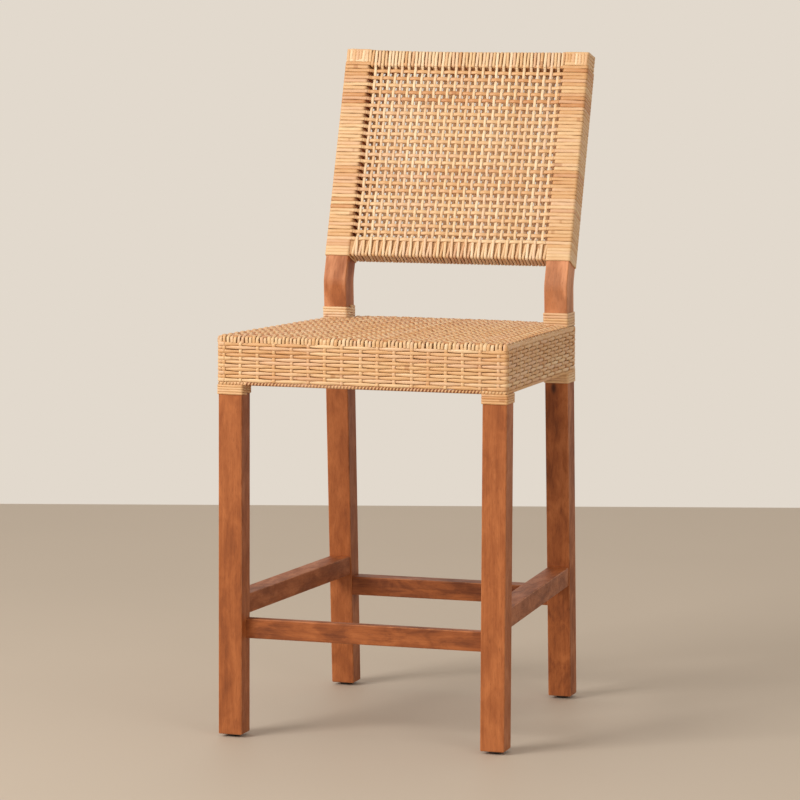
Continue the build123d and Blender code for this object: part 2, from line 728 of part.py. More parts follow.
def ring_strip(bottom, top, side):
    """One side of the band between the seat's outline and its core."""
    outer = seat_corners(0)
    inner = seat_corners(WEAVE)
    following = (side + 1) % 4
    with BuildPart() as ring:
        with BuildSketch(seat_level(bottom)):
            Polygon(*outer, align=None)
        extrude(amount=top - bottom, dir=UPRIGHT)
        fillet(ring.edges().filter_by(Axis.Z), radius=SEAT_CORNER)
        with BuildSketch(seat_level(bottom)):
            Polygon(
                outer[side],
                outer[following],
                inner[following],
                inner[side],
                align=None,
            )
        extrude(amount=top - bottom, dir=UPRIGHT, mode=Mode.INTERSECT)
    return ring.part


with BuildPart() as skirt_front:
    add(ring_strip(SKIRT_BOTTOM, SKIRT_TOP, 0))
with BuildPart() as skirt_right:
    add(ring_strip(SKIRT_BOTTOM, SKIRT_TOP, 1))
with BuildPart() as skirt_rear:
    add(ring_strip(SKIRT_BOTTOM, SKIRT_TOP, 2))
with BuildPart() as skirt_left:
    add(ring_strip(SKIRT_BOTTOM, SKIRT_TOP, 3))

with BuildPart() as border_front:
    add(ring_strip(BORDER_BOTTOM, SKIRT_BOTTOM, 0))
with BuildPart() as border_right:
    add(ring_strip(BORDER_BOTTOM, SKIRT_BOTTOM, 1))
with BuildPart() as border_rear:
    add(ring_strip(BORDER_BOTTOM, SKIRT_BOTTOM, 2))
with BuildPart() as border_left:
    add(ring_strip(BORDER_BOTTOM, SKIRT_BOTTOM, 3))

# ---- cane wrappings and webs ---------------------------------------------------------
with BuildPart() as post_wrap_right:
    add(post_sleeve_blank.part)
    add(post_sleeve_core.part, mode=Mode.SUBTRACT)
    add(back_top_rail.part, mode=Mode.SUBTRACT)
    add(back_bottom_rail.part, mode=Mode.SUBTRACT)
    add(dowel_holes.part, mode=Mode.SUBTRACT)

with BuildPart() as post_wrap_left:
    mirror(post_wrap_right.part, about=Plane.YZ)

with BuildPart() as front_collar_left:
    mirror(front_collar_right.part, about=Plane.YZ)
with BuildPart() as rear_collar_left:
    mirror(rear_collar_right.part, about=Plane.YZ)
with BuildPart() as upper_collar_left:
    mirror(upper_collar_right.part, about=Plane.YZ)

web_bottom = PANEL_BOTTOM + BOTTOM_RAIL_TALL
web_top = RAKE_LENGTH - TOP_RAIL_TALL
web_mid = (web_bottom + web_top) / 2
with BuildPart() as back_web_front:
    with BuildSketch(rake_plane.offset(-WEB_SET_IN)):
        with Locations((0, web_mid)):
            Rectangle(2 * wrap_end_x, web_top - web_bottom)
    extrude(amount=-WEB_THICK)

with BuildPart() as back_web_rear:
    with BuildSketch(rake_plane.offset(-(POST_DEPTH_RAKED - WEB_SET_IN))):
        with Locations((0, web_mid)):
            Rectangle(2 * wrap_end_x, web_top - web_bottom)
    extrude(amount=WEB_THICK)

# ---- labels and export ---------------------------------------------------------------
pieces = {
    "front_leg_left": front_leg_left,
    "front_leg_right": front_leg_right,
    "rear_post_left": rear_post_left,
    "rear_post_right": rear_post_right,
    "front_stretcher": front_stretcher,
    "back_stretcher": back_stretcher,
    "side_stretcher_left": side_stretcher_left,
    "side_stretcher_right": side_stretcher_right,
    "seat_rail_front": seat_rail_front,
    "seat_rail_rear": seat_rail_rear,
    "seat_rail_left": seat_rail_left,
    "seat_rail_right": seat_rail_right,
    "seat_bearer_left": seat_bearer_left,
    "seat_bearer_right": seat_bearer_right,
    "corner_block_front_left": corner_block_front_left,
    "corner_block_front_right": corner_block_front_right,
    "corner_block_rear_left": corner_block_rear_left,
    "corner_block_rear_right": corner_block_rear_right,
    "corner_block_screws": corner_block_screws,
    "rail_dowels": rail_dowels,
    "back_top_rail": back_top_rail,
    "back_bottom_rail": back_bottom_rail,
    "floor_glides": floor_glides,
    "glide_nails": glide_nails,
    "seat_deck": seat_deck,
    "skirt_front": skirt_front,
    "skirt_right": skirt_right,
    "skirt_rear": skirt_rear,
    "skirt_left": skirt_left,
    "border_front": border_front,
    "border_right": border_right,
    "border_rear": border_rear,
    "border_left": border_left,
    "front_collar_left": front_collar_left,
    "front_collar_right": front_collar_right,
    "rear_collar_left": rear_collar_left,
    "rear_collar_right": rear_collar_right,
    "upper_collar_left": upper_collar_left,
    "upper_collar_right": upper_collar_right,
    "post_wrap_left": post_wrap_left,
    "post_wrap_right": post_wrap_right,
    "top_rail_wrap": top_rail_wrap,
    "bottom_rail_wrap": bottom_rail_wrap,
    "back_web_front": back_web_front,
    "back_web_rear": back_web_rear,
}

for name, piece in pieces.items():
    piece.part.label = name
    export_step(piece.part, f"parts/{name}.step")
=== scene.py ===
import math

import bpy
import numpy as np
from mathutils import Matrix, Vector


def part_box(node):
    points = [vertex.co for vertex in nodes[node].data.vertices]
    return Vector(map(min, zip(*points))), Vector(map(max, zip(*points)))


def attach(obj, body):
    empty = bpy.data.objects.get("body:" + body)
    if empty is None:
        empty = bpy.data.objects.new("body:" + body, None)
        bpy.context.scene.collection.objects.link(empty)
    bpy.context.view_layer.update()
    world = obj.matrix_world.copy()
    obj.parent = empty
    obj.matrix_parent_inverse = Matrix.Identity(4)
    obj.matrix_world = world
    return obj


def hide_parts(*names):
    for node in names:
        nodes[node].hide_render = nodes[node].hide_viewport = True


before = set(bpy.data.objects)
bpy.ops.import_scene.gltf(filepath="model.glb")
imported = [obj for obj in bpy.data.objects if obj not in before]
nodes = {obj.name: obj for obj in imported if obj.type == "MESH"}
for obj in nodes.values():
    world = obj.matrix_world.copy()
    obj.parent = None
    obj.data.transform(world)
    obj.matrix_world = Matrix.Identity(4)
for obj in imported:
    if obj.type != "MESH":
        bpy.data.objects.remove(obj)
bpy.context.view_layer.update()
rng = np.random.default_rng(20)
MM = 0.001


# -------- small helpers

def unit(v):
    return v / np.linalg.norm(v, axis=-1, keepdims=True)


def ease(t):
    t = np.clip(t, 0, 1)
    return t * t * (3 - 2 * t)


def fade(way, length):
    """From 0 at the start of a way to 1 after so many mm."""
    return ease(way / (length * MM))


def stray(low, high, count=None):
    """A random length in mm, or several."""
    return rng.uniform(low, high, count) * MM


def wobble(s, size, length):
    """A slow, smooth unevenness along a strand."""
    a, b = rng.uniform(0, 2 * math.pi, 2)
    wave = np.sin(2 * math.pi * s / length + a) + 0.6 * np.sin(2 * math.pi * s / (0.37 * length) + b)
    return size * wave / 1.6


def add_object(name, data):
    thing = bpy.data.objects.new(name, data)
    bpy.context.scene.collection.objects.link(thing)
    return thing


def vertices(node):
    return np.array([v.co for v in nodes[node].data.vertices], float)


def rounded(corners, radius, step, arc=5):
    """A closed line through 2-D corners (counter-clockwise) with rounded corners.

    It starts halfway along the first side. Gives points, outward normals and distance along it.
    """
    c = np.array(corners, float)
    n = len(c)
    line = [(c[0] + c[1]) / 2]
    for k in range(1, n + 1):
        before, here, after = c[k - 1], c[k % n], c[(k + 1) % n]
        way_in, way_out = unit(here - before), unit(after - here)
        turn = math.acos(float(np.clip(way_in @ way_out, -1, 1)))
        cut = radius * math.tan(turn / 2)
        first = here - way_in * cut
        run = float(np.linalg.norm(first - line[-1]))
        if run > 1e-6:
            count, last = max(1, int(run / step)), line[-1]
            line.extend([last + (first - last) * t for t in np.arange(1, count + 1) / count])
        centre = first + np.array([-way_in[1], way_in[0]]) * radius
        start = math.atan2(*(first - centre)[::-1])
        for t in np.arange(1, arc + 1) / arc if radius > 0 else ():
            a = start + turn * t
            line.append(centre + radius * np.array([math.cos(a), math.sin(a)]))
    count = max(1, int(np.linalg.norm(line[0] - line[-1]) / step))
    last = line[-1]
    line.extend([last + (line[0] - last) * t for t in np.arange(1, count) / count])
    p = np.array(line)
    ahead = unit(np.roll(p, -1, 0) - np.roll(p, 1, 0))
    outward = np.stack([ahead[:, 1], -ahead[:, 0]], 1)
    gaps = np.linalg.norm(np.diff(p, axis=0), axis=1)
    return p, outward, np.concatenate([[0], np.cumsum(gaps)])


# -------- strands

SIDES = 8
ANGLES = -math.pi / 2 + 2 * math.pi * np.arange(SIDES) / SIDES


class Weave:
    """Cane strands gathered into one mesh piece."""

    def __init__(self, name, *replaced):
        self.name, self.replaced = name, replaced
        self.co, self.quads, self.ends, self.grain, self.tint = [], [], [], [], []
        self.count = 0

    def add(self, rings, along, around, tint):
        n, k = rings.shape[:2]
        self.co.append(rings.reshape(-1, 3))
        i, j = np.meshgrid(np.arange(n - 1), np.arange(k), indexing="ij")
        a = i * k + j
        b = i * k + (j + 1) % k
        quads = np.stack([a, b, b + k, a + k], -1).reshape(-1, 4)
        self.quads.append(quads + self.count)
        self.ends.append(np.arange(k)[::-1] + self.count)
        self.ends.append(np.arange(k) + self.count + (n - 1) * k)
        grain = np.empty((n, k, 3))
        grain[:, :, 0] = along[:, None]
        grain[:, :, 1] = around
        grain[:, :, 2] = np.mean(tint) * 7.3 + along[0]
        self.grain.append(grain.reshape(-1, 3))
        self.tint.append(np.repeat(np.broadcast_to(tint, n), k))
        self.count += n * k

    def finish(self, material):
        co = np.concatenate(self.co)
        quads = np.concatenate(self.quads)
        ends = np.array(self.ends)
        loops = np.concatenate([quads.ravel(), ends.ravel()])
        totals = np.concatenate([np.full(len(quads), 4), np.full(len(ends), SIDES)])
        starts = np.concatenate([[0], np.cumsum(totals)[:-1]])
        mesh = bpy.data.meshes.new(self.name)
        mesh.vertices.add(len(co))
        mesh.vertices.foreach_set("co", co.ravel())
        mesh.loops.add(len(loops))
        mesh.loops.foreach_set("vertex_index", loops.astype(np.int32))
        mesh.polygons.add(len(totals))
        mesh.polygons.foreach_set("loop_start", starts.astype(np.int32))
        mesh.update(calc_edges=True)
        smooth = np.concatenate([np.ones(len(quads), bool), np.zeros(len(ends), bool)])
        mesh.polygons.foreach_set("use_smooth", smooth)
        grain = mesh.attributes.new("grain", "FLOAT_VECTOR", "POINT")
        grain.data.foreach_set("vector", np.concatenate(self.grain).ravel().astype(np.float32))
        tint = mesh.attributes.new("tint", "FLOAT", "POINT")
        tint.data.foreach_set("value", np.concatenate(self.tint).astype(np.float32))
        mesh.validate()
        mesh.materials.append(material)
        piece = add_object(self.name, mesh)
        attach(piece, "root")
        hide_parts(*self.replaced)


def sweep(points, normals, width, thick, closed=False, square=0.8):
    """Rings of a flat oval strand along a line, and the distance round each ring."""
    if closed:
        ahead = np.roll(points, -1, 0) - np.roll(points, 1, 0)
    else:
        ahead = np.gradient(points, axis=0)
    ahead = unit(ahead)
    up = unit(normals - (normals * ahead).sum(1, keepdims=True) * ahead)
    side = np.cross(ahead, up)
    c, s = np.cos(ANGLES), np.sin(ANGLES)
    across = np.sign(c) * np.abs(c) ** square / 2
    depth = np.sign(s) * np.abs(s) ** square / 2
    width = np.broadcast_to(width, len(points))
    thick = np.broadcast_to(thick, len(points))
    rings = (points[:, None]
             + side[:, None] * (across * width[:, None])[:, :, None]
             + up[:, None] * (depth * thick[:, None])[:, :, None])
    around = np.arange(SIDES) / SIDES * (2 * np.mean(width) + np.mean(thick))
    return rings, around


def lengths(points):
    gaps = np.linalg.norm(np.diff(points, axis=0), axis=1)
    return np.concatenate([[0], np.cumsum(gaps)])


def lay(weave, points, normals, width, thick, tint, square=0.8):
    rings, around = sweep(points, normals, width, thick, False, square)
    weave.add(rings, lengths(points) + rng.uniform(0, 9), around, tint)


def lay_loop(points, normals, width, thick, cuts, square=0.8):
    """A closed strand, cut at (index, weave, tint) into parts that butt together."""
    rings, around = sweep(points, normals, width, thick, True, square)
    n = len(points)
    along = lengths(points)
    cuts = sorted(cuts, key=lambda cut: cut[0])
    shift, last = rng.uniform(0, 9), None
    for k, (first, weave, tint) in enumerate(cuts):
        end = cuts[(k + 1) % len(cuts)][0]
        if end <= first:
            end += n
        index = np.arange(first, end + 1)
        if tint != last:
            shift, last = rng.uniform(0, 9), tint
        far = along[index % n] + (along[-1] + 0.001) * (index >= n)
        weave.add(rings[index % n], far + shift, around, tint)


def random_tint(low, high, dark):
    """Mostly cream and gold, now and then an orange strand."""
    if rng.random() < dark:
        return rng.uniform(0.62, 0.8)
    return float(np.clip(rng.normal((low + high) / 2, (high - low) / 3), 0.02, 0.85))


def strip_tints(count, fewest, most, **kind):
    """Neighbouring turns come from one strip of cane, so they share a tint."""
    tints = []
    while len(tints) < count:
        tint = random_tint(**kind)
        tints.extend([tint] * int(rng.integers(fewest, most)))
    return [t + rng.uniform(-0.03, 0.03) for t in tints[:count]]


# -------- materials

class Graph:
    """Short calls for building a material's nodes."""

    def __init__(self, name):
        self.material = bpy.data.materials.new(name)
        self.material.use_nodes = True
        self.tree = self.material.node_tree
        self.shader = self.tree.nodes["Principled BSDF"]

    def node(self, kind, inputs=(), **settings):
        n = self.tree.nodes.new(kind)
        for key, value in settings.items():
            setattr(n, key, value)
        for key, value in dict(inputs).items():
            self.put(n.inputs[key], value)
        return n

    def put(self, socket, value):
        if isinstance(value, bpy.types.NodeSocket):
            self.tree.links.new(value, socket)
        else:
            socket.default_value = value

    def maths(self, operation, a, b=0.0, c=0.0, clamp=False):
        n = self.node("ShaderNodeMath", {0: a, 1: b, 2: c}, operation=operation, use_clamp=clamp)
        return n.outputs[0]

    def times(self, a, b):
        return self.maths("MULTIPLY", a, b)

    def times_plus(self, a, b, c):
        return self.maths("MULTIPLY_ADD", a, b, c)

    def vector(self, operation, a, b=(0, 0, 0)):
        n = self.node("ShaderNodeVectorMath", {0: a, 1: b}, operation=operation)
        return n.outputs[0]

    def join(self, x, y, z):
        return self.node("ShaderNodeCombineXYZ", {0: x, 1: y, 2: z}).outputs[0]

    def split(self, v):
        return self.node("ShaderNodeSeparateXYZ", {0: v}).outputs

    def noise(self, vector, scale, detail=2.0, rough=0.5, distortion=0.0):
        inputs = {"Vector": vector, "Scale": scale, "Detail": detail,
                  "Roughness": rough, "Distortion": distortion}
        return self.node("ShaderNodeTexNoise", inputs).outputs["Fac"]

    def ramp(self, value, stops):
        n = self.node("ShaderNodeValToRGB", {"Fac": value})
        elements = n.color_ramp.elements
        while len(elements) < len(stops):
            elements.new(0.5)
        for element, (place, colour) in zip(elements, stops):
            element.position = place
            element.color = colour
        return n.outputs["Color"]

    def band(self, value, low, high, to_low=0.0, to_high=1.0):
        inputs = {"Value": value, "From Min": low, "From Max": high,
                  "To Min": to_low, "To Max": to_high}
        n = self.node("ShaderNodeMapRange", inputs, interpolation_type="SMOOTHSTEP")
        return n.outputs["Result"]

    def mix(self, factor, a, b):
        n = self.node("ShaderNodeMix", data_type="RGBA")
        self.put(n.inputs["Factor"], factor)
        self.put(n.inputs[6], a)
        self.put(n.inputs[7], b)
        return n.outputs[2]

    def cover(self, base, rough, specular=0.5):
        self.put(self.shader.inputs["Base Color"], base)
        self.put(self.shader.inputs["Roughness"], rough)
        self.shader.inputs["Specular IOR Level"].default_value = specular

    def bump(self, height, distance, strength):
        inputs = {"Height": height, "Distance": distance, "Strength": strength}
        n = self.node("ShaderNodeBump", inputs)
        self.put(self.shader.inputs["Normal"], n.outputs["Normal"])


def colour(r, g, b):
    """A colour given as it looks on screen, 0 to 255, turned into scene light."""
    v = np.array([r, g, b]) / 255
    return tuple(np.where(v <= 0.04045, v / 12.92, ((v + 0.055) / 1.055) ** 2.4)) + (1.0,)


def cane_material():
    g = Graph("cane")
    grain = g.node("ShaderNodeAttribute", attribute_name="grain").outputs["Vector"]
    tint = g.node("ShaderNodeAttribute", attribute_name="tint").outputs["Fac"]
    along, around, seed = g.split(grain)

    def on_strand(lengthwise, crosswise, detail, rough):
        """Noise in a strand's own directions."""
        spot = g.join(g.times(along, lengthwise), g.times(around, crosswise), seed)
        return g.noise(spot, 1.0, detail, rough)

    # slow drift of colour along a strand, and patches as wide as a finger
    drift = on_strand(7.0, 0.0, 3.0, 0.6)
    shift = g.times_plus(drift, 0.5, -0.25)
    patch = on_strand(60.0, 90.0, 2.0, 0.6)
    shift = g.times_plus(patch, 0.22, g.maths("SUBTRACT", shift, 0.11))
    fibre = on_strand(70.0, 2600.0, 3.0, 0.65)
    value = g.maths("ADD", tint, shift, clamp=True)
    base = g.ramp(value, [
        (0.0, colour(250, 227, 192)),
        (0.25, colour(238, 204, 158)),
        (0.5, colour(224, 178, 126)),
        (0.72, colour(207, 149, 96)),
        (0.88, colour(187, 119, 70)),
        (1.0, colour(146, 84, 46)),
    ])
    blush = g.noise(g.join(g.times(seed, 1.9), g.times(along, 4.0), 3.0), 1.0, 1.0)
    base = g.mix(g.times(g.band(blush, 0.48, 0.66), 0.55), base, colour(230, 190, 158))
    streak = g.band(fibre, 0.3, 0.72)
    base = g.mix(g.times(streak, 0.34), base, colour(186, 130, 80))
    # leaf scars: short darker rings, far apart
    scar = g.noise(g.join(g.times(along, 55.0), 0.0, g.maths("ADD", seed, 4.7)), 1.0, 0.0)
    scar = g.band(scar, 0.74, 0.80)
    base = g.mix(g.times(scar, 0.5), base, colour(168, 104, 54))
    g.cover(base, g.band(fibre, 0.2, 0.8, 0.36, 0.56))
    g.bump(g.times_plus(scar, 0.5, fibre), 0.00025, 0.6)
    return g.material


def wood_material(name, axis, seed, tone, figure, knot=None, bend=None, plain=False):
    """Stained hardwood with its grain along one axis of the shared frame.

    knot is a point with a radius. bend is the height above which a post leans back, its slope, and
    the least and the most by which its stain is rubbed off above the seat.
    """
    g = Graph(name)
    place = g.node("ShaderNodeTexCoord").outputs["Object"]
    x, y, z = g.split(place)
    if bend:
        over = g.maths("MAXIMUM", g.maths("SUBTRACT", z, bend[0]), 0.0)
        y = g.maths("SUBTRACT", y, g.times(over, bend[1]))
    long, a, b = {"x": (x, y, z), "y": (y, x, z), "z": (z, x, y)}[axis]
    off = seed * 3.17

    def drawn_out(along, across, detail, rough, distortion=0.0, offset=off):
        """Noise that is stretched along the grain."""
        spot = g.join(g.times(long, along), g.times(a, across), g.times_plus(b, across, offset))
        return g.noise(spot, 1.0, detail, rough, distortion)

    # rings of the trunk, cut at a slant, so that they run as long arches
    sway = drawn_out(3.5, 9.0, 2.0, 0.5)
    across = g.times_plus(sway, 0.05, g.times_plus(a, 0.8, g.times(b, 0.6)))
    across = g.times_plus(long, 0.012, across)
    rings = g.noise(g.join(g.times(long, 0.6), g.times(across, 190.0), off), 1.0, 2.0, 0.55)
    fine = drawn_out(22.0, 900.0, 3.0, 0.6)
    pores = drawn_out(90.0, 1500.0, 1.0, 0.5)
    clouds = drawn_out(19.0, 42.0, 4.0, 0.62, 0.6)
    value = g.times_plus(g.band(rings, 0.25, 0.75), 0.12, g.maths("ADD", tone, 0.12))
    value = g.times_plus(g.band(fine, 0.25, 0.75), 0.13, value)
    blotch = drawn_out(10.0, 26.0, 3.0, 0.6, 0.4, off + 5.0)
    value = g.times_plus(g.band(blotch, 0.25, 0.75), 0.22, value)
    value = g.maths("MULTIPLY_ADD", g.band(clouds, 0.3, 0.7), figure, value, clamp=True)
    if plain:
        stops = [(0.0, colour(214, 172, 122)), (0.5, colour(196, 148, 98)), (1.0, colour(160, 112, 70))]
    else:
        stops = [(0.0, colour(208, 138, 86)), (0.3, colour(186, 112, 63)),
                 (0.62, colour(156, 87, 44)), (1.0, colour(104, 51, 23))]
    base = g.ramp(value, stops)
    if bend:
        # above the seat the stain is rubbed thin, in pinkish patches
        thin = g.times(g.band(z, 0.60, 0.64), g.band(blotch, 0.62, 0.36, *bend[2:]))
        base = g.mix(thin, base, colour(224, 156, 112))
    pore = g.band(pores, 0.60, 0.74)
    base = g.mix(g.times(pore, 0.4), base, colour(96, 46, 24))
    height = g.times_plus(pore, -0.7, g.times(fine, 0.5))
    if knot:
        centre, radius = knot
        away = g.vector("SUBTRACT", place, tuple(centre))
        away = g.vector("MULTIPLY", away, (1.0, 1.0, 0.45))
        reach = g.node("ShaderNodeVectorMath", {0: away}, operation="LENGTH").outputs["Value"]
        reach = g.times_plus(clouds, radius * 0.9, reach)
        spot = g.band(reach, radius * 1.6, radius * 0.7)
        base = g.mix(g.times(spot, 0.85), base, colour(52, 24, 14))
    # edges are painted lighter, partly rubbed stain and partly a painted highlight on the arrises: there the
    # normal lies along no axis
    normal = g.node("ShaderNodeNewGeometry").outputs["Normal"]
    nx, ny, nz = g.split(g.vector("ABSOLUTE", normal))
    flat = g.maths("MAXIMUM", g.maths("MAXIMUM", nx, ny), nz)
    edge = g.band(flat, 0.95, 0.80)
    rub_and_highlight = g.noise(g.vector("MULTIPLY", place, (60.0, 60.0, 60.0)), 1.0, 3.0, 0.6)
    edge = g.times(edge, g.band(rub_and_highlight, 0.35, 0.65, 0.1, 0.6))
    base = g.mix(edge, base, colour(206, 138, 92))
    rough = g.band(clouds, 0.2, 0.8, 0.42, 0.58)
    g.cover(base, g.times_plus(pore, 0.15, rough), 0.3)
    g.bump(height, 0.0002, 0.5)
    return g.material


def small_material(name, tones, rough, metallic=0.0):
    """Steel or moulded plastic, with fine speckle and small scratches."""
    g = Graph(name)
    place = g.node("ShaderNodeTexCoord").outputs["Object"]
    speck = g.noise(place, 900.0, 3.0, 0.6)
    scratch = g.noise(g.vector("MULTIPLY", place, (2600.0, 260.0, 2600.0)), 1.0, 2.0, 0.5)
    base = g.ramp(speck, [(0.3, tones[0]), (0.7, tones[1])])
    g.cover(base, g.band(scratch, 0.3, 0.7, *rough))
    g.shader.inputs["Metallic"].default_value = metallic
    g.bump(speck, 0.0001, 0.4)
    return g.material


def dress(name, material):
    for slot in nodes[name].material_slots:
        slot.material = material


web_co = vertices("back_web_front")
web_foot = web_co[np.argmin(web_co[:, 1])]
web_head = web_co[np.argmax(web_co[:, 2])]
UP = np.array([0, *(web_head - web_foot)[1:]])
UP = UP / np.linalg.norm(UP)
BACK = np.array([0, UP[2], -UP[1]])
ORIGIN = np.array([0, web_foot[1], web_foot[2]])


def panel_box(name):
    """Extent of a CAD node of the back as (x, up the rake, back) lows and highs."""
    co = vertices(name)
    flat = np.stack([co[:, 0], (co - ORIGIN) @ UP, (co - ORIGIN) @ BACK], 1)
    return flat.min(0), flat.max(0)


def panel(x, up, back):
    x, up, back = np.broadcast_arrays(x, up, back)
    return np.stack([x, 0 * x, 0 * x], -1) + ORIGIN + up[..., None] * UP + back[..., None] * BACK


post_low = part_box("rear_post_right")[0]
collar_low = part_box("rear_collar_right")[0]
KNOT = (Vector((post_low.x + 14.5 * MM, collar_low.y + 4 * MM, 0.513)), 5.8 * MM)
BEND_HEIGHT = float(ORIGIN[2]) - 70 * MM
RAKE_SLOPE = float(UP[1] / UP[2])
BENDS = {"rear_post_left": (BEND_HEIGHT, RAKE_SLOPE, 0.1, 0.7),
         "rear_post_right": (BEND_HEIGHT, RAKE_SLOPE, 0.4, 0.95)}
CALM, LIVELY = 0.22, 0.36  # how strongly a piece of wood is figured

# node, direction of the grain, darkness of the stain
WOODS = [
    ("front_leg_left", "z", 0.10), ("front_leg_right", "z", 0.04),
    ("front_stretcher", "x", 0.16), ("back_stretcher", "x", 0.22),
    ("side_stretcher_left", "y", 0.12), ("side_stretcher_right", "y", 0.16),
    ("rear_post_left", "z", 0.10), ("rear_post_right", "z", 0.08),
]
for number, (name, axis, tone) in enumerate(WOODS):
    knotty = name == "rear_post_right"
    figure = LIVELY if knotty or "stretcher" in name else CALM
    dress(name, wood_material("wood_" + name, axis, 1 + number * 1.7, tone, figure,
                              KNOT if knotty else None, BENDS.get(name)))
HIDDEN = ("seat_rail", "seat_bearer", "corner_block_", "back_top", "back_bottom", "rail_dowels")
for number, name in enumerate(sorted(nodes)):
    if name.startswith(HIDDEN) and name != "corner_block_screws":
        lo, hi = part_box(name)
        axis = "x" if hi.x - lo.x >= hi.y - lo.y else "y"
        dress(name, wood_material("hidden_" + name, axis, 40 + number, 0.1, 0.2, plain=True))
dress("floor_glides", small_material("glide", (colour(44, 38, 35), colour(62, 55, 50)), (0.4, 0.6)))
steel = small_material("steel", (colour(150, 148, 145), colour(190, 188, 184)), (0.25, 0.45), 1.0)
dress("glide_nails", steel)
dress("corner_block_screws", steel)
CANE = cane_material()


# -------- seat: outline

skirt_lo, skirt_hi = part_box("skirt_front")
rear_lo, rear_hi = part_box("skirt_rear")
Y0, Y1 = skirt_lo.y, rear_hi.y
W0, W1 = skirt_hi.x, rear_hi.x
CORNER = 4 * MM
SLOPE = (skirt_hi.z - rear_hi.z) / (rear_lo.y - skirt_lo.y)
# the rear edge, in mm below the straight slope: its corners are REAR_DROP lower, the right one
# REAR_LEAN more and the left one REAR_LEAN less, and its middle is REAR_CROWN higher than they are
REAR_DROP, REAR_LEAN, REAR_CROWN = 2.0, 1.0, 3.5


def half_width(y):
    return W0 + (W1 - W0) * (y - Y0) / (Y1 - Y0)


def settle(x, y):
    """How far the woven seat lies lower than at its front edge."""
    share = np.clip(x / half_width(y), -1, 1)
    depth = np.clip((y - Y0) / (Y1 - Y0), 0, 1)
    uneven = REAR_DROP + REAR_LEAN * share - REAR_CROWN * (1 - share ** 4)
    return SLOPE * (y - Y0) + uneven * MM * depth ** 2


def outline(inset, step, arc=6):
    """The seat's edge in plan, moved in by inset, from the middle of the left side."""
    corners = [(-W1 + inset, Y1 - inset), (-W0 + inset, Y0 + inset),
               (W0 - inset, Y0 + inset), (W1 - inset, Y1 - inset)]
    return rounded(corners, CORNER, step, arc)


def whole(points, s):
    """The length of a closed line, with its last step."""
    return s[-1] + float(np.linalg.norm(points[0] - points[-1]))


def nearest(s, at):
    """Index of the point that lies closest to a distance along a line."""
    return int(np.argmin(np.abs(s - at)))


def lift(plane, z):
    """Points or directions in plan, given a third coordinate."""
    return np.concatenate([plane, np.broadcast_to(z, len(plane))[:, None]], 1)


def corner_marks(points, s):
    """Distance along the outline of its corners: front left, front right, rear right, rear left."""
    marks = []
    for cx, cy in ((-W0, Y0), (W0, Y0), (W1, Y1), (-W1, Y1)):
        marks.append(float(s[np.argmin((points[:, 0] - cx) ** 2 + (points[:, 1] - cy) ** 2)]))
    return marks


# -------- seat: skirt

SIDE_NAMES = ("front", "right", "rear", "left")
PAST_CORNER = 10 * MM  # from a corner to the cut between the pieces of two sides
SKIRT_MID = 1.1 * MM  # from the skirt's outer face in to the middle of its rows
ROWS = 11
ROW_TOP = 611.5 * MM
ROW_PITCH = 5.5 * MM
ROW_WIDTH, ROW_SWELL, CORNER_SWELL = 5.1, 0.6, 0.9  # mm
ROW_THICK = 2.7 * MM
ROW_SWING = 1.0 * MM  # out over one stake and in behind the next
SPLICES = 5  # in one row, each behind a stake
STAKES = (17, 18, 16, 17)
STAKE_WIDTH, STAKE_THICK = 5.3 * MM, 1.5 * MM
COVER_SWING, COVER_THICK = 0.6 * MM, 2.5 * MM

skirts = {n: Weave("skirt_%s_weave" % n, "skirt_" + n) for n in SIDE_NAMES}
plan, plan_out, plan_s = outline(SKIRT_MID, 1.8 * MM)
plan_length = whole(plan, plan_s)
marks = corner_marks(plan, plan_s)


def place_stakes():
    """Distances along the outline of all stakes, side by side from the front, a little uneven."""
    stakes = []
    for k, first in enumerate(marks):
        last = marks[(k + 1) % 4]
        if last < first:
            last += plan_length
        spots = np.linspace(first + 9 * MM, last - 12 * MM, STAKES[k])
        spots[1:-1] += stray(-1.6, 1.6, len(spots) - 2)
        stakes.extend(spots)
    return np.array(stakes)


stake_s = place_stakes()
stake_number = np.arange(len(stake_s))
around_s = np.concatenate([stake_s - plan_length, stake_s, stake_s + plan_length])
around_number = np.concatenate([stake_number - len(stake_s), stake_number, stake_number + len(stake_s)])
stake_phase = np.interp(plan_s, around_s, around_number)
near_corner = sum(np.exp(-(((plan_s - m) / (11 * MM)) ** 2)) for m in marks)
# one more than there are rows, because a random draw less would change all that follow
row_wave = [wobble(plan_s, 0.28 * MM, 0.21) for _ in range(ROWS + 1)]


def side_cuts(s):
    """Where along the outline, just past each corner, a side's piece begins."""
    return [(nearest(s, m + PAST_CORNER), n) for m, n in zip(marks, SIDE_NAMES)]


def row_parts(row):
    """Where one row changes its piece, at the sides' cuts, or its strand, behind a stake."""
    sides = dict(side_cuts(plan_s))
    hidden = [k for k in range(len(stake_s)) if (k + row) % 2 == 1]
    splices = sorted(rng.choice(hidden, SPLICES, replace=False))
    splice_index = [nearest(plan_s, stake_s[k] % plan_length) for k in splices]
    tints = {i: random_tint(0.34, 0.62, 0.03) for i in splice_index}
    side, tint, parts = "left", tints[max(splice_index)], []
    for i in sorted(set(sides) | set(splice_index)):
        side = sides.get(i, side)
        tint = tints.get(i, tint)
        parts.append((i, skirts[side], tint))
    return parts


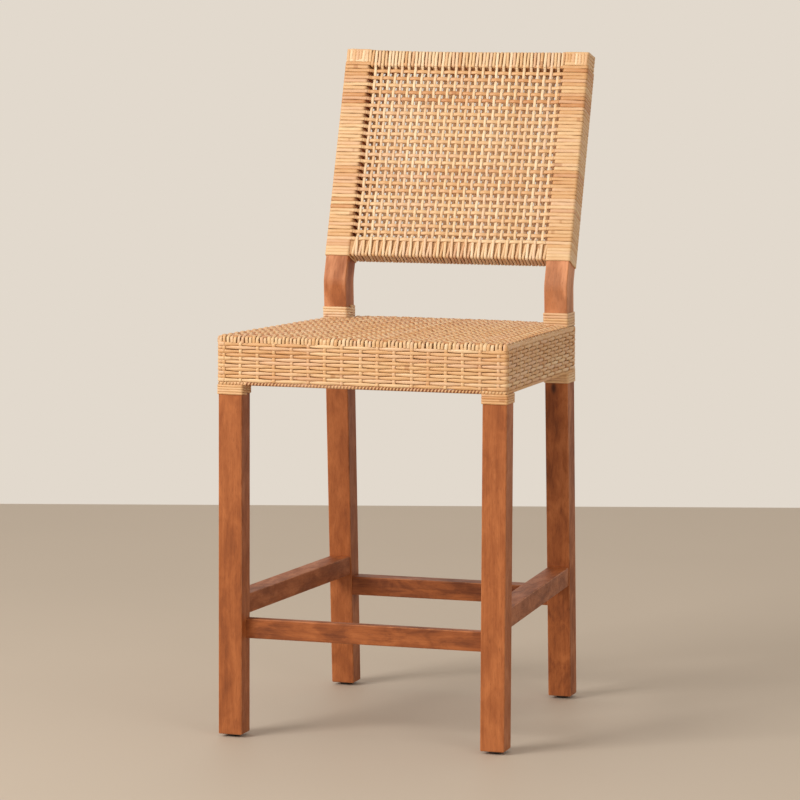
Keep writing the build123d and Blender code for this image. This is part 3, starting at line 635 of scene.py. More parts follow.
def skirt_row(row):
    """One row round the seat, in front of every other stake."""
    over = np.cos(math.pi * (stake_phase + row))
    over = np.sign(over) * np.abs(over) ** 0.8
    out = ROW_SWING * over + wobble(plan_s, 0.12 * MM, 0.13)
    z = ROW_TOP - (row + 0.5) * ROW_PITCH + row_wave[row] + wobble(plan_s, 0.15 * MM, 0.07)
    z = z - settle(plan[:, 0], plan[:, 1])
    points = lift(plan + plan_out * out[:, None], z)
    width = (ROW_WIDTH + ROW_SWELL * over + CORNER_SWELL * near_corner) * MM
    width = width + wobble(plan_s, 0.2 * MM, 0.09)
    thick = ROW_THICK + wobble(plan_s, 0.12 * MM, 0.11)
    lay_loop(points, lift(plan_out, 0.0), width, thick, row_parts(row), square=0.95)


def stake(number, s):
    """An upright strand, in front of every other row."""
    s = s % plan_length
    centre = np.array([np.interp(s, plan_s, plan[:, 0]), np.interp(s, plan_s, plan[:, 1])])
    outward = plan_out[nearest(plan_s, s)]
    side = SIDE_NAMES[int(np.searchsorted(np.cumsum(STAKES), number, side="right"))]
    z = np.arange(ROW_TOP + 2 * MM, ROW_TOP - ROWS * ROW_PITCH + 0.4 * MM, -0.9 * MM)
    phase = (ROW_TOP - z) / ROW_PITCH - 0.5
    over = -np.cos(math.pi * (phase + number))
    lean = stray(-0.8, 0.8)
    along = np.array([-outward[1], outward[0]])
    slide = lean * (z - z.mean()) / (z[0] - z[-1]) + wobble(z, 0.25 * MM, 0.04)
    spot = centre + outward * (ROW_SWING * over)[:, None] + along * slide[:, None]
    points = lift(spot, z - float(settle(centre[0], centre[1])))
    normals = np.broadcast_to(np.array([*outward, 0.0]), points.shape)
    lay(skirts[side], points, normals, STAKE_WIDTH + stray(-0.3, 0.3), STAKE_THICK,
        random_tint(0.25, 0.6, 0.03))


def cover_row(side, first, last):
    """One more row along one side, over the feet of the strands that roll over the rim."""
    s = np.arange(first + 5 * MM, last - 5 * MM, 1.8 * MM)
    spot = np.stack([np.interp(s, plan_s, plan[:, k], period=plan_length) for k in range(2)], 1)
    outward = np.stack([np.interp(s, plan_s, plan_out[:, k], period=plan_length) for k in range(2)], 1)
    over = np.cos(math.pi * (np.interp(s, around_s, around_number) - 1))
    tuck = 2.5 * MM * (1 - fade(s - s[0], 9) * fade(s[-1] - s, 9))
    spot = spot + outward * (COVER_SWING * over - tuck)[:, None]
    z = ROW_TOP + 0.5 * ROW_PITCH - settle(spot[:, 0], spot[:, 1]) + wobble(s, 0.2 * MM, 0.1)
    lay(skirts[side], lift(spot, z), lift(outward, 0.0), (ROW_WIDTH + ROW_SWELL * over) * MM,
        COVER_THICK, random_tint(0.3, 0.6, 0.0), square=0.95)


for row in range(ROWS):
    skirt_row(row)
for number, s in enumerate(stake_s):
    stake(number, s)
cover_row("right", marks[1], marks[2])
cover_row("left", marks[3], marks[0] + plan_length)


# -------- seat: beaded border

BEAD = 5.4 * MM  # from one bead to the next
BEAD_TINT = 0.44
TWIST_RADIUS = 1.9 * MM
COLLAR_REACH = 42 * MM  # from a corner to the far side of its leg
PALE_CORE, CORE_PAINTED_SHADE = 0.36, 1.4  # core tints over the legs and between them; the dark one between them is painted shade under the skirt's edge

borders = {n: Weave("border_%s_beads" % n, "border_" + n) for n in SIDE_NAMES}


def beaded_border():
    """A thin strand wound round a core, which shows between the beads; between the legs the core is tinted
    dark as painted shade under the skirt's edge.
    """
    spots, out, s = outline(2.4 * MM, 0.45 * MM, 24)
    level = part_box("border_front")[1].z - 2.5 * MM - settle(spots[:, 0], spots[:, 1])
    length = whole(spots, s)
    turns = round(length / BEAD)
    angle = 2 * math.pi * turns * s / length + wobble(s, 0.5, 0.11)
    swing = TWIST_RADIUS * np.cos(angle)
    points = lift(spots + out * swing[:, None], level + TWIST_RADIUS * np.sin(angle))
    normals = lift(out * np.cos(angle)[:, None], np.sin(angle))
    cuts = [(i, borders[n], BEAD_TINT) for i, n in side_cuts(s)]
    lay_loop(points, normals, 2.6 * MM, 1.9 * MM, cuts, square=1.0)
    cuts = []
    for mark, before, after in zip(marks, ("left", "front", "right", "rear"), SIDE_NAMES):
        cuts.append((nearest(s, mark - COLLAR_REACH), borders[before], PALE_CORE))
        cuts.append((nearest(s, mark + PAST_CORNER), borders[after], PALE_CORE))
        cuts.append((nearest(s, mark + COLLAR_REACH), borders[after], CORE_PAINTED_SHADE))
    lay_loop(lift(spots, level), lift(out, 0.0), 5.6 * MM, 2.4 * MM, cuts, square=1.0)


beaded_border()


# -------- seat: deck and rim

DECK_THICK, DECK_WIDTH = 1.9 * MM, 5.1 * MM
DECK_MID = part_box("seat_deck")[1].z - 2.1 * MM
DECK_GIVE = 1.0 * MM
DECK_RISE = 1.35 * MM
DECK_SHADE = 0.85  # painted shade: how much darker a strand is tinted where it dips, and a cross strand along its whole length
LONG_COUNT, CROSS_COUNT = 76, 80
EDGE_GAP = 5.2 * MM  # from the seat's edge to the middle of the first strand
ROLL = 4.2 * MM  # the rim's radius
ROLL_STEPS = 5
ROLL_ANGLES = np.linspace(0, math.pi / 2, ROLL_STEPS + 1)[1:]
RIM_TURN = np.concatenate([ROLL_ANGLES, np.full(ROLL_STEPS, math.pi / 2)])
RIM_FOOT = ROW_TOP - 1.0 * MM
RIM_DROP = DECK_MID - RIM_FOOT
SIDE_INSET = 2.2 * MM  # at the sides the strands go down behind the cover rows
POST_GAP, POST_DIP = 0.8 * MM, 5 * MM  # how a strand ends in front of a post
STUB_POINTS = 8

collar_lo, collar_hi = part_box("upper_collar_right")
POST_X0, POST_X1 = collar_lo.x, collar_hi.x
POST_Y0, POST_Y1 = collar_lo.y, collar_hi.y

deck = {n: Weave("seat_deck_" + n, "seat_deck")
        for n in ("strands_left", "strands_right", "fillers_front", "fillers_rear")}
long_at = np.linspace(-1, 1, LONG_COUNT) * (1 - EDGE_GAP / W0)
long_at = long_at + stray(-0.2, 0.2, LONG_COUNT) / W0
cross_at = np.linspace(Y0 + EDGE_GAP, Y1 - EDGE_GAP, CROSS_COUNT)
cross_at = cross_at + stray(-0.3, 0.3, CROSS_COUNT)
# each strand from front to rear floats over three cross strands and dips under the fourth
DIP = np.array([(0, 2, 1, 3)[k % 4] for k in range(LONG_COUNT)])


def sag(x, y):
    """The deck gives a little between the rails."""
    from_sides = np.clip(1 - (x / W1) ** 2, 0, 1)
    from_ends = np.clip(1 - ((y - (Y0 + Y1) / 2) / (Y1 - Y0) * 2) ** 2, 0, 1)
    return -DECK_GIVE * (from_sides * from_ends) - settle(x, y)


def roll_over(reach):
    """Outward and downward steps of a strand over the rim, from the deck outwards."""
    outward = np.concatenate([reach - ROLL + ROLL * np.sin(ROLL_ANGLES), np.full(ROLL_STEPS, reach)])
    straight = ROLL + np.linspace(0, RIM_DROP - ROLL, ROLL_STEPS + 1)[1:]
    return outward, np.concatenate([ROLL * (1 - np.cos(ROLL_ANGLES)), straight])


def over_rim(last, heading, foot, lean=0.0):
    """Points and normals of a strand from its last point on the deck over the rim to its foot."""
    outward, down = roll_over(ROLL)
    x = last[0] + heading[0] * outward + lean * down / RIM_DROP
    y = last[1] + heading[1] * outward
    z = last[2] - down * (last[2] - foot) / RIM_DROP
    tilt = np.sin(RIM_TURN)
    return np.stack([x, y, z], 1), np.stack([heading[0] * tilt, heading[1] * tilt, np.cos(RIM_TURN)], 1)


def rim_stub(weave, at, heading, lean, sunk, width, tint):
    """A short strand down the rim, where a post stands between it and the deck."""
    z = np.linspace(DECK_MID - 0.4 * MM, RIM_FOOT, STUB_POINTS)
    inward = lean * fade(z - DECK_MID + 3 * MM, 3)
    points = np.stack([at[0] - heading[0] * inward, at[1] - heading[1] * inward, z - sunk], 1)
    normals = np.tile([float(heading[0]), float(heading[1]), 0.0], (STUB_POINTS, 1))
    lay(weave, points, normals, width, DECK_THICK, tint)


def post_dip(past):
    """A strand runs down just before it ends at a post; past is negative until its end."""
    return POST_DIP * ease((past + POST_DIP) / POST_DIP) ** 2


def fine_steps(a, b, step=1.6 * MM):
    return np.linspace(a, b, max(4, int(abs(b - a) / step)))


def phase_at(where, grid):
    return np.interp(where, grid, np.arange(len(grid)))


def long_strand(k, share):
    """A strand from the front rim to the rear one, or to a post."""
    weave = deck["strands_left" if k < LONG_COUNT // 2 else "strands_right"]
    blocked = POST_X0 - 0.5 * MM < abs(share) * half_width(POST_Y0)
    y_end = POST_Y0 + POST_GAP if blocked else Y1 - ROLL - 0.8 * MM
    y = fine_steps(Y0 + ROLL + 0.8 * MM, y_end)
    x = share * half_width(y)
    weigh = fade(y - Y0 - 2 * MM, 6) * fade(Y1 - 2 * MM - y, 6)
    over = -np.cos(math.pi / 2 * (phase_at(y, cross_at) + DIP[k]))
    z = DECK_MID + sag(x, y) + DECK_RISE * weigh * over + wobble(y, 0.25 * MM, 0.06)
    # painted shade where the strand dips under a cross strand, plus a slow random change of tone along it
    painted_shade_and_tone = DECK_SHADE * weigh * ((1 - over) / 2) ** 1.5 + wobble(y, 0.07, 0.023)
    if blocked:
        z = z - post_dip(y - y_end)
    top = np.stack([x, y, z], 1)
    foot = RIM_FOOT - float(settle(x[0], Y0))
    front, front_n = over_rim(top[0], (0, -1), foot, stray(-1.0, 1.0))
    points = [front[::-1], top]
    normals = [front_n[::-1], np.tile([0.0, 0.0, 1.0], (len(y), 1))]
    if not blocked:
        rear, rear_n = over_rim(top[-1], (0, 1), RIM_FOOT - float(settle(x[-1], Y1)))
        points.append(rear)
        normals.append(rear_n)
    ends = (len(RIM_TURN), 0 if blocked else len(RIM_TURN))
    swell = np.pad(0.7 * MM * weigh * over, ends, constant_values=stray(-0.7, 0.9))
    width = DECK_WIDTH + stray(-0.4, 0.3) + swell
    lay(weave, np.concatenate(points), np.concatenate(normals), width, DECK_THICK,
        random_tint(0.18, 0.48, 0.02) + np.pad(painted_shade_and_tone, ends), square=0.95)


def cross_strand(k, y):
    """A strand from the left rim to the right one, or between the posts."""
    weave = deck["fillers_front" if k < CROSS_COUNT // 2 else "fillers_rear"]
    reach = half_width(y) - SIDE_INSET
    blocked = POST_Y0 - 0.5 * MM < y < POST_Y1 + 1.5 * MM
    x_end = POST_X0 + POST_GAP if blocked else reach - ROLL
    x = fine_steps(-x_end, x_end)
    weigh = fade(x_end + ROLL - 1 * MM - np.abs(x), 6)
    crossing = np.where((k + DIP) % 4 == 0, 0.7, -1.0)
    phase = phase_at(x / half_width(y), long_at)
    before = np.minimum(phase.astype(int), LONG_COUNT - 2)
    over = crossing[before] + (crossing[before + 1] - crossing[before]) * ease(phase - before)
    z = DECK_MID + sag(x, y) + DECK_RISE * weigh * over + wobble(x, 0.25 * MM, 0.06)
    # painted shade in the gaps between the long strands, along the whole strand and most where it dips, plus
    # a slow random change of tone
    painted_shade_and_tone = DECK_SHADE * weigh * (0.75 - 0.25 * over) + wobble(x, 0.07, 0.023)
    if blocked:
        z = z - post_dip(np.abs(x) - x_end)
    points = np.stack([x, np.full(len(x), y), z], 1)
    normals = np.tile([0.0, 0.0, 1.0], (len(x), 1))
    if not blocked:
        left, left_n = over_rim(points[0], (-1, 0), RIM_FOOT - float(settle(-W0, y)))
        right, right_n = over_rim(points[-1], (1, 0), RIM_FOOT - float(settle(W0, y)))
        points = np.concatenate([left[::-1], points, right])
        normals = np.concatenate([left_n[::-1], normals, right_n])
        painted_shade_and_tone = np.pad(painted_shade_and_tone, len(RIM_TURN))
    width = DECK_WIDTH + stray(-0.4, 0.3)
    tint = random_tint(0.18, 0.48, 0.02)
    lay(weave, points, normals, width, DECK_THICK, tint + painted_shade_and_tone, square=0.95)
    if blocked:
        for sign in (-1, 1):
            rim_stub(weave, (sign * reach, y), (sign, 0), 1.2 * MM, settle(sign * W0, y), width, tint)


def rim_corner(sign, wide, y, facing):
    """Three strands that turn one corner of the rim."""
    weave = deck["fillers_front" if facing < 0 else "fillers_rear"]
    centre = np.array([sign * (wide - CORNER), y - facing * CORNER])
    outward, down = roll_over(CORNER - 0.8 * MM)
    z = DECK_MID + 0.3 * MM - down - settle(sign * wide, y)
    for degrees in (14, 45, 76):
        t = math.radians(degrees)
        heading = np.array([sign * math.sin(t), facing * math.cos(t)])
        normals = lift(heading * np.sin(RIM_TURN)[:, None], np.cos(RIM_TURN))
        lay(weave, lift(centre + heading * outward[:, None], z), normals,
            np.linspace(2.2, 4.4, len(z)) * MM, DECK_THICK, random_tint(0.2, 0.6, 0.05))


for k, share in enumerate(long_at):
    long_strand(k, share)
for k, y in enumerate(cross_at):
    cross_strand(k, y)
for sign in (-1, 1):
    for x in np.arange(POST_X0 + 2 * MM, POST_X1 - 1 * MM, 5.6 * MM):
        rim_stub(deck["fillers_rear"], (sign * x, Y1 - 0.8 * MM), (0, 1), 1.0 * MM,
                 settle(sign * x, Y1), 5.0 * MM, random_tint(0.42, 0.66, 0.02))
    rim_corner(sign, W0, Y0, -1)
    rim_corner(sign, W1, Y1, 1)


# -------- collars round the legs

COLLAR_THICK = 2.2 * MM
COLLAR_CORNER, COLLAR_STEP = 2.4 * MM, 2.5 * MM


def section(name, top):
    """Height of a collar's level end, and its lowest and highest corners in plan."""
    co = vertices(name)
    z = co[:, 2].max() if top else co[:, 2].min()
    level = co[np.abs(co[:, 2] - z) < 0.1 * MM]
    return z, level.min(0), level.max(0)


def collar(name, ends, base, rim, turns, **kind):
    """Cane wound tight round a leg, in turns that step down on its inner side."""
    (z0, lo0, hi0), (z1, lo1, hi1) = ends
    pitch = (rim - base) / turns
    width = pitch * 1.05
    weave = Weave(name + "_turns", name)
    tint = random_tint(**kind)
    for turn in range(turns):
        z = rim - (turn + 0.5) * pitch
        t = (z - z0) / (z1 - z0)
        x0, y0 = (lo0 * (1 - t) + lo1 * t)[:2] + COLLAR_THICK / 2
        x1, y1 = (hi0 * (1 - t) + hi1 * t)[:2] - COLLAR_THICK / 2
        loop = [(x0, y1), (x0, y0), (x1, y0), (x1, y1)]
        if lo0[0] < 0:
            loop = loop[2:] + loop[:2]
        p, out, s = rounded(loop, COLLAR_CORNER, COLLAR_STEP)
        p = np.concatenate([p, p[:1]])
        out = np.concatenate([out, out[:1]])
        s = np.concatenate([s, [s[-1] + COLLAR_STEP]])
        step = (s / s[-1] - 0.5) * 2
        drop = -pitch / 2 * np.sign(step) * ease((np.abs(step) - 0.8) / 0.2)
        z = z + drop + wobble(s, 0.15 * MM, 0.06)
        lay(weave, lift(p, z), lift(out, 0.0), width + stray(-0.2, 0.1), COLLAR_THICK,
            tint + rng.uniform(-0.05, 0.05), square=0.65)
    weave.finish(CANE)


for side in ("left", "right"):
    foot = section("front_collar_" + side, False)
    leg_ends = foot, (foot[0] + 0.01, foot[1], foot[2])
    collar("front_collar_" + side, leg_ends, foot[0], foot[0] + 15 * MM, 4, low=0.4, high=0.7, dark=0.0)
    foot, head = section("rear_collar_" + side, False), section("upper_collar_" + side, True)
    collar("rear_collar_" + side, (foot, head), foot[0], foot[0] + 21 * MM, 5, low=0.2, high=0.5, dark=0.0)
    collar("upper_collar_" + side, (foot, head), head[0] - 22 * MM, head[0], 5, low=0.15, high=0.4, dark=0.0)


# -------- back: both webs and all wrappings

ROW_COUNT, COLUMN_COUNT = 26, 28
web_lo, web_hi = panel_box("back_web_front")
rear_web_lo, rear_web_hi = panel_box("back_web_rear")
wrap_lo, wrap_hi = panel_box("post_wrap_right")
STRAND = 1.8 * MM
OUTER = wrap_hi[0] - STRAND / 2
INNER = web_hi[0]
FRONT = wrap_lo[2] + STRAND / 2
REAR = wrap_hi[2] - STRAND / 2
HEAD = wrap_hi[1]
FOOT = wrap_lo[1]
LOOP_TOP, LOOP_BOTTOM = HEAD - STRAND / 2, FOOT + STRAND / 2
HALFWAY = (HEAD + FOOT) / 2
COLUMN_PITCH = 11.55 * MM
COLUMNS = web_lo[0] + 11.4 * MM + COLUMN_PITCH * np.arange(COLUMN_COUNT)
ROW_STEP = 11.87 * MM
WEB_ROWS = web_hi[1] + 3.4 * MM - ROW_STEP * np.arange(ROW_COUNT)
WEB_TILT = 1.6 * MM
RISE = 0.9 * MM
FRONT_MID = (web_lo[2] + web_hi[2]) / 2
REAR_MID = (rear_web_lo[2] + rear_web_hi[2]) / 2
TOP_LEVELLING, LEVELLED = 6.0 * MM, 34 * MM
HATCH = -5.0 * MM  # how far a strand shifts sideways under or over a rail
REAR_WEB_PAINTED_SHADE = 0.12  # painted shade: the web at the back, seen through the front one, is tinted darker as if in the shadow inside the back

web_front = Weave("back_web_front_cane", "back_web_front")
web_rear = Weave("back_web_rear_cane", "back_web_rear")
posts = {-1: Weave("post_wrap_left_turns", "post_wrap_left"),
         1: Weave("post_wrap_right_turns", "post_wrap_right")}
top_wrap = Weave("top_rail_wrap_strands", "top_rail_wrap")
low_wrap = Weave("bottom_rail_wrap_strands", "bottom_rail_wrap")


def web_depth(up, mid, rail):
    """How deep the web lies: sunk between the rails, on their faces at the edges."""
    inside = fade(up - web_lo[1] + 2 * MM, 7) * fade(web_hi[1] + 2 * MM - up, 7)
    return rail + (mid - rail) * inside


def rearness(b):
    """0 on the front face of the back, 1 on its rear face."""
    return ease((b - FRONT) / (REAR - FRONT))


def slant(up):
    """Turns drop as they pass the outer side, more so low down."""
    return (1.5 + 5.5 * (HEAD - up) / (HEAD - FOOT)) * MM


def rear_rise(up, b):
    """The top is cut nearly level although the back leans, which lifts its rear edge."""
    share = np.clip((b - FRONT) / (REAR - FRONT), 0, 1)
    return TOP_LEVELLING * share * ease((up - HEAD + LEVELLED) / LEVELLED)


def crest(x, up, b):
    """The top edge is not straight: it rises to the left end and dips in the middle."""
    share = x / OUTER
    shift = -2.0 + 4.8 * (0.5 - share / 2) ** 5 + 0.8 * np.clip(share, 0, 1)
    return up + shift * MM * fade(up - HEAD + 30 * MM, 24) + rear_rise(up, b)


def row_height(row, x):
    """Rows slope down to the right near the top."""
    return WEB_ROWS[row] - WEB_TILT * (x / INNER) * (1 - row / (ROW_COUNT - 1))


def switches(flags):
    """Indices on a closed line where a flag differs from the one before."""
    return [k for k in range(len(flags)) if flags[k] != flags[k - 1]]


def web_piece(front, tint):
    # the rear web's strands are all tinted darker, painted shade for the inside of the back
    return (web_front, tint) if front else (web_rear, tint + REAR_WEB_PAINTED_SHADE)


def facing(x, up, back):
    """Directions given along the panel's own axes."""
    return panel(x, up, back) - ORIGIN


row_tints = strip_tints(ROW_COUNT, 1, 4, low=0.2, high=0.56, dark=0.1)
row_tints[4:6] = [0.64, 0.72]  # one strip of browner cane, a fifth of the way down
BROWNER_TURNS = {-1: (19, 20), 1: (0, 15, 20)}  # turns of such cane on each post, counted like rows
BROWNER = 0.70
column_tints = strip_tints(COLUMN_COUNT, 1, 3, low=0.0, high=0.3, dark=0.0)

# the line of a row, in plan: across the front, round a post, back across the rear, round the other
row_p, row_n, row_s = rounded(
    [(OUTER, REAR), (-OUTER, REAR), (-OUTER, FRONT), (OUTER, FRONT)], 3.6 * MM, 1.6 * MM, 6)
row_x, row_b = row_p[:, 0], row_p[:, 1]
row_front = row_b < (FRONT + REAR) / 2
inward = fade(INNER - 1.0 * MM - np.abs(row_x), 8)
row_in_web = inward > 0.02
column_phase = (np.interp(row_x, COLUMNS, np.arange(COLUMN_COUNT))
                + np.minimum((row_x - COLUMNS[0]) / COLUMN_PITCH, 0)
                + np.maximum((row_x - COLUMNS[-1]) / COLUMN_PITCH, 0))


def web_row(row):
    """One strand round both webs and both posts."""
    up = row_height(row, row_x) - slant(WEB_ROWS[row]) * rearness(row_b) * 0.7
    over = np.cos(math.pi * (column_phase + row))
    front_mid = web_depth(up, FRONT_MID, FRONT + 0.2 * MM)
    rear_mid = web_depth(up, REAR_MID, REAR - 0.2 * MM)
    mid = np.where(row_front, front_mid, rear_mid)
    if row == 0:
        mid = mid + np.where(row_front, 1.8, -1.8) * MM
    depth = row_b + inward * (mid + np.where(row_front, -1, 1) * RISE * over - row_b)
    up = up + wobble(row_s, 0.35 * MM, 0.12) + wobble(row_s, 0.15 * MM, 0.05)
    width = np.where(row_front, 5.7, 6.1) * MM + wobble(row_s, 0.25 * MM, 0.15)
    thick = 1.35 * MM + (STRAND - 1.35 * MM) * (1 - inward)
    parts = []
    for k in switches(row_in_web):
        piece = posts[1 if row_x[k] > 0 else -1], row_tints[row]
        if row_in_web[k]:
            piece = web_piece(row_front[k], row_tints[row])
        parts.append((k, *piece))
    lay_loop(panel(row_x, up, depth), facing(row_n[:, 0], 0.0, row_n[:, 1]), width, thick, parts,
             square=0.6)


lows = np.linspace(WEB_ROWS[-1] - 5.7 * MM, FOOT + 2.9 * MM, 5)
highs = np.arange(WEB_ROWS[0] + ROW_STEP / 2, HEAD - 2 * MM, 5.6 * MM)
between = (WEB_ROWS[:-1] + WEB_ROWS[1:]) / 2
turn_heights = np.concatenate([highs[::-1], between, lows])


def post_turns(sign):
    """Turns round one post only, between the rows and along the rails."""
    x_in, x_out = sign * (INNER + STRAND / 2), sign * OUTER
    a, c = min(x_in, x_out), max(x_in, x_out)
    corners = [(a, REAR), (a, FRONT), (c, FRONT), (c, REAR)]
    if sign < 0:
        corners = corners[2:] + corners[:2]
    p, out, s = rounded(corners, 3.2 * MM, 3 * MM)
    tints = strip_tints(len(highs), 1, 4, low=0.2, high=0.5, dark=0.0)
    tints += [t + rng.uniform(-0.05, 0.05) for t in row_tints[:-1]]
    for turn in BROWNER_TURNS[sign]:
        tints[len(highs) + turn] = BROWNER
    tints += strip_tints(len(lows), 1, 4, low=0.2, high=0.5, dark=0.1)
    for height, tint in zip(turn_heights, tints):
        tilt = WEB_TILT * (p[:, 0] / INNER) * np.clip((height - FOOT) / (HEAD - FOOT), 0, 1)
        up = height - tilt - slant(height) * rearness(p[:, 1]) * 0.7 + wobble(s, 0.2 * MM, 0.07)
        up = up + rear_rise(height, p[:, 1])
        ceiling = HEAD - 1.5 * MM + rear_rise(HEAD, p[:, 1])
        sunk = 0.7 * MM * fade(height - HEAD + 22 * MM, 3)
        spot = p - out * sunk
        points = panel(spot[:, 0], np.clip(up, FOOT + 1 * MM, ceiling), spot[:, 1])
        width = (6.15 + rng.uniform(-0.25, 0.15)) * MM
        lay_loop(points, facing(out[:, 0], 0.0, out[:, 1]), width, STRAND, [(0, posts[sign], tint)],
                 square=0.5)


# the line of a column, from the side: down the front web, under the bottom rail, up the rear web
# and over the top rail
col_p, col_n, col_s = rounded(
    [(LOOP_TOP, FRONT), (LOOP_TOP, REAR), (LOOP_BOTTOM, REAR), (LOOP_BOTTOM, FRONT)],
    3.4 * MM, 1.6 * MM, 6)
col_u, col_b = col_p[:, 0], col_p[:, 1]
col_front = col_b < (FRONT + REAR) / 2
col_in_web = (col_u > web_lo[1]) & (col_u < web_hi[1])
col_flat = (col_b < FRONT + 0.05 * MM) | (col_b > REAR - 0.05 * MM)
row_phase = ROW_COUNT - 1 - np.interp(col_u, WEB_ROWS[::-1], np.arange(ROW_COUNT))
row_zone = (fade(col_u - WEB_ROWS[-1] + 5 * MM, 5)
            * fade(WEB_ROWS[0] + 5 * MM - col_u, 5))


def web_column(column):
    """One strand round both webs and both rails."""
    over = -np.cos(math.pi * (row_phase + column))
    mid = np.where(col_front, web_depth(col_u, FRONT_MID, FRONT), web_depth(col_u, REAR_MID, REAR))
    depth = mid + np.where(col_front, -1, 1) * RISE * over * row_zone
    depth = np.where(col_flat, depth, col_b)
    sway = wobble(col_s, 0.55 * MM, 0.16) + wobble(col_s, 0.3 * MM, 0.05)
    across = COLUMNS[column] + sway + HATCH * rearness(col_b)
    points = panel(across, crest(COLUMNS[column], col_u, depth), depth)
    width = np.where(col_in_web, np.where(col_front, 4.8, 5.8), 4.9) * MM + wobble(col_s, 0.2 * MM, 0.1)
    parts = []
    for k in switches(col_in_web):
        piece = top_wrap if col_u[k] > HALFWAY else low_wrap, column_tints[column]
        if col_in_web[k]:
            piece = web_piece(col_front[k], column_tints[column])
        parts.append((k, *piece))
    lay_loop(points, facing(0 * col_u, col_n[:, 0], col_n[:, 1]), width, 1.6 * MM, parts, square=0.9)


def rail_loops(weave, u0, u1, starts, pinch):
    """Turns round one rail; pinch draws their upper front ends towards the column beside them."""
    corners = [(u1, FRONT), (u1, REAR), (u0, REAR), (u0, FRONT)]
    p, out, s = rounded(corners, 3.4 * MM, 2.2 * MM)
    q = rearness(p[:, 1])
    tall = (p[:, 0] - u0) / (u1 - u0)
    tints = strip_tints(len(starts), 1, 4, low=0.12, high=0.55, dark=0.07)
    for start, tint in zip(starts, tints):
        lean = stray(-0.9, 0.9) * (tall - 0.5)
        across = start + HATCH * q + lean + pinch * ease(tall) * (1 - q) + wobble(s, 0.2 * MM, 0.05)
        points = panel(across, crest(start, p[:, 0], p[:, 1]), p[:, 1])
        width = (4.7 + rng.uniform(-0.5, 0.3)) * MM
        lay_loop(points, facing(0 * s, out[:, 0], out[:, 1]), width, 1.7 * MM, [(0, weave, tint)])


END_RADIUS = 8 * MM


def over_post_head(sign, x):
    """A strand over the head of a post, at one end of the top rail, that falls off outwards."""
    edge = x - (OUTER - END_RADIUS)
    fall = END_RADIUS - math.sqrt(max(END_RADIUS ** 2 - max(edge, 0) ** 2, 0))
    tail = (22 + rng.uniform(-3, 3)) * MM
    crown = LOOP_TOP - fall + 0.5 * MM
    low = crown - 2 * tail
    p, out, _ = rounded([(low, FRONT), (crown, FRONT), (crown, REAR), (low, REAR)], 3.6 * MM, 1.8 * MM)
    keep = p[:, 0] > crown - tail
    p, out = p[keep], out[keep]
    down = crown - p[:, 0]
    tuck = 1.4 * MM * fade(down - tail + 5 * MM, 5)
    spot = p - out * tuck[:, None]
    lean = stray(-1.0, 1.0) * down / tail
    points = panel(sign * x + lean, crest(sign * x, spot[:, 0], spot[:, 1]), spot[:, 1])
    width = (5.0 + rng.uniform(-0.4, 0.3)) * MM
    lay(top_wrap, points, facing(0 * down, out[:, 0], out[:, 1]), width, 1.6 * MM,
        random_tint(0.15, 0.55, 0.06))


for row in range(ROW_COUNT):
    web_row(row)
for sign in (-1, 1):
    post_turns(sign)
for column in range(COLUMN_COUNT):
    web_column(column)
halves = np.concatenate([COLUMNS - COLUMN_PITCH / 2, [COLUMNS[-1] + COLUMN_PITCH / 2]])
rail_loops(top_wrap, WEB_ROWS[0] - 2.8 * MM, LOOP_TOP, halves, 0.0)
rail_loops(low_wrap, LOOP_BOTTOM, WEB_ROWS[-1] - 2.5 * MM, halves, 3.2 * MM)
for sign in (-1, 1):
    for x in np.arange(INNER - 0.3 * MM, OUTER - 1 * MM, 5.4 * MM):
        over_post_head(sign, x)

for weave in (*skirts.values(), *borders.values(), *deck.values(), *posts.values(),
              web_front, web_rear, top_wrap, low_wrap):
    weave.finish(CANE)


# -------- stage, light and camera

YAW, PITCH, ROLL_ANGLE = 0.307, 0.103, 0.005  # the camera's, in radians
CAMERA_PLACE = (1.70185, -5.46575, 1.0932)
LENS, SENSOR = 163.28, 36.0  # mm
FLOOR_RADIUS, FLOOR_REAR = 3.3, 2.5
FLOOR_POINTS = 96
FLOOR_COLOUR, SKY_COLOUR = colour(194, 181, 166), colour(226, 217, 205)
KEY_POWER, FILL_POWER = 150, 21  # W


def floor_material():
    g = Graph("floor_pale")
    place = g.node("ShaderNodeTexCoord").outputs["Object"]
    cloud = g.noise(place, 1.2, 2.0, 0.5)
    deep = tuple(c * 0.97 for c in FLOOR_COLOUR[:3]) + (1.0,)
    g.cover(g.ramp(cloud, [(0.3, deep), (0.7, FLOOR_COLOUR)]), 0.6, 0.3)
    return g.material


def make_floor():
    """A disc, cut off straight behind the stool."""
    ring = np.linspace(0, 2 * math.pi, FLOOR_POINTS + 1)[:-1]
    across, away = FLOOR_RADIUS * np.cos(ring), np.minimum(FLOOR_RADIUS * np.sin(ring), FLOOR_REAR)
    points = np.stack([across * math.cos(YAW) - away * math.sin(YAW),
                       across * math.sin(YAW) + away * math.cos(YAW), 0 * ring], 1)
    mesh = bpy.data.meshes.new("floor")
    mesh.from_pydata([tuple(p) for p in points.tolist()], [], [list(range(FLOOR_POINTS))])
    mesh.materials.append(floor_material())
    add_object("floor", mesh)


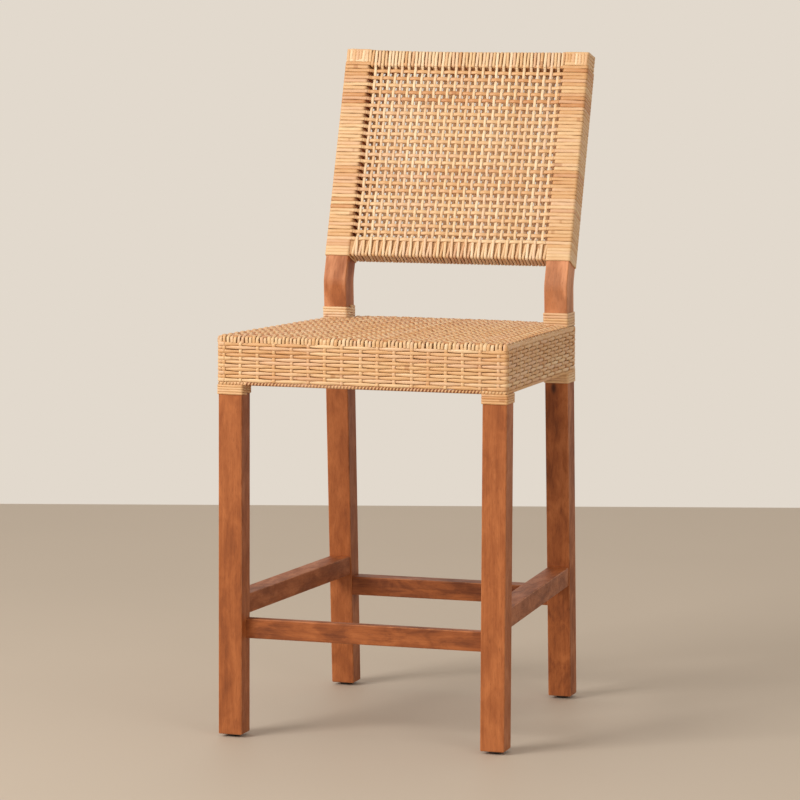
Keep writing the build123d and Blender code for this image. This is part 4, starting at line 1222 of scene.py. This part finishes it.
def make_studio():
    """An even pale background, dimmer towards the right."""
    world = bpy.data.worlds.new("studio")
    world.use_nodes = True
    tree = world.node_tree
    direction = tree.nodes.new("ShaderNodeTexCoord").outputs["Generated"]
    split = tree.nodes.new("ShaderNodeSeparateXYZ")
    tree.links.new(direction, split.inputs[0])
    dim = tree.nodes.new("ShaderNodeMapRange")
    dim.interpolation_type = "SMOOTHSTEP"
    for socket, value in (("From Min", 0.05), ("From Max", 0.75), ("To Min", 1.0), ("To Max", 0.6)):
        dim.inputs[socket].default_value = value
    tree.links.new(split.outputs["X"], dim.inputs["Value"])
    tree.nodes["Background"].inputs["Color"].default_value = SKY_COLOUR
    tree.links.new(dim.outputs["Result"], tree.nodes["Background"].inputs["Strength"])
    bpy.context.scene.world = world
    bpy.context.scene.view_settings.view_transform = "Standard"
    bpy.context.scene.view_settings.look = "None"


def softbox(name, place, aim, size, power, tone):
    light = bpy.data.lights.new(name, "AREA")
    light.shape = "RECTANGLE"
    light.size, light.size_y = size
    light.energy = power
    light.color = tone
    holder = add_object(name, light)
    holder.location = place
    holder.rotation_mode = "QUATERNION"
    holder.rotation_quaternion = (Vector(aim) - Vector(place)).to_track_quat("-Z", "Y")


def make_camera():
    """The photograph's camera, rolled a little about its line of sight."""
    ahead = np.array([-math.sin(YAW) * math.cos(PITCH), math.cos(YAW) * math.cos(PITCH), -math.sin(PITCH)])
    right = np.array([math.cos(YAW), math.sin(YAW), 0.0])
    above = np.cross(right, ahead)
    right, above = (math.cos(ROLL_ANGLE) * right + math.sin(ROLL_ANGLE) * above,
                    -math.sin(ROLL_ANGLE) * right + math.cos(ROLL_ANGLE) * above)
    data = bpy.data.cameras.new("camera")
    data.lens, data.sensor_width = LENS, SENSOR
    data.clip_start, data.clip_end = 0.1, 60.0
    camera = add_object("camera", data)
    pose = Matrix.Identity(4)
    for k, axis in enumerate((right, above, -ahead, CAMERA_PLACE)):
        for row in range(3):
            pose[row][k] = float(axis[row])
    camera.matrix_world = pose
    bpy.context.scene.camera = camera


make_floor()
make_studio()
softbox("key", (-2.6, -3.4, 2.7), (0, 0, 0.6), (2.0, 1.6), KEY_POWER, (1.0, 0.96, 0.9))
softbox("fill", (3.2, -2.6, 1.8), (0, 0, 0.6), (1.6, 1.6), FILL_POWER, (1.0, 0.98, 0.95))
make_camera()

bpy.context.view_layer.update()
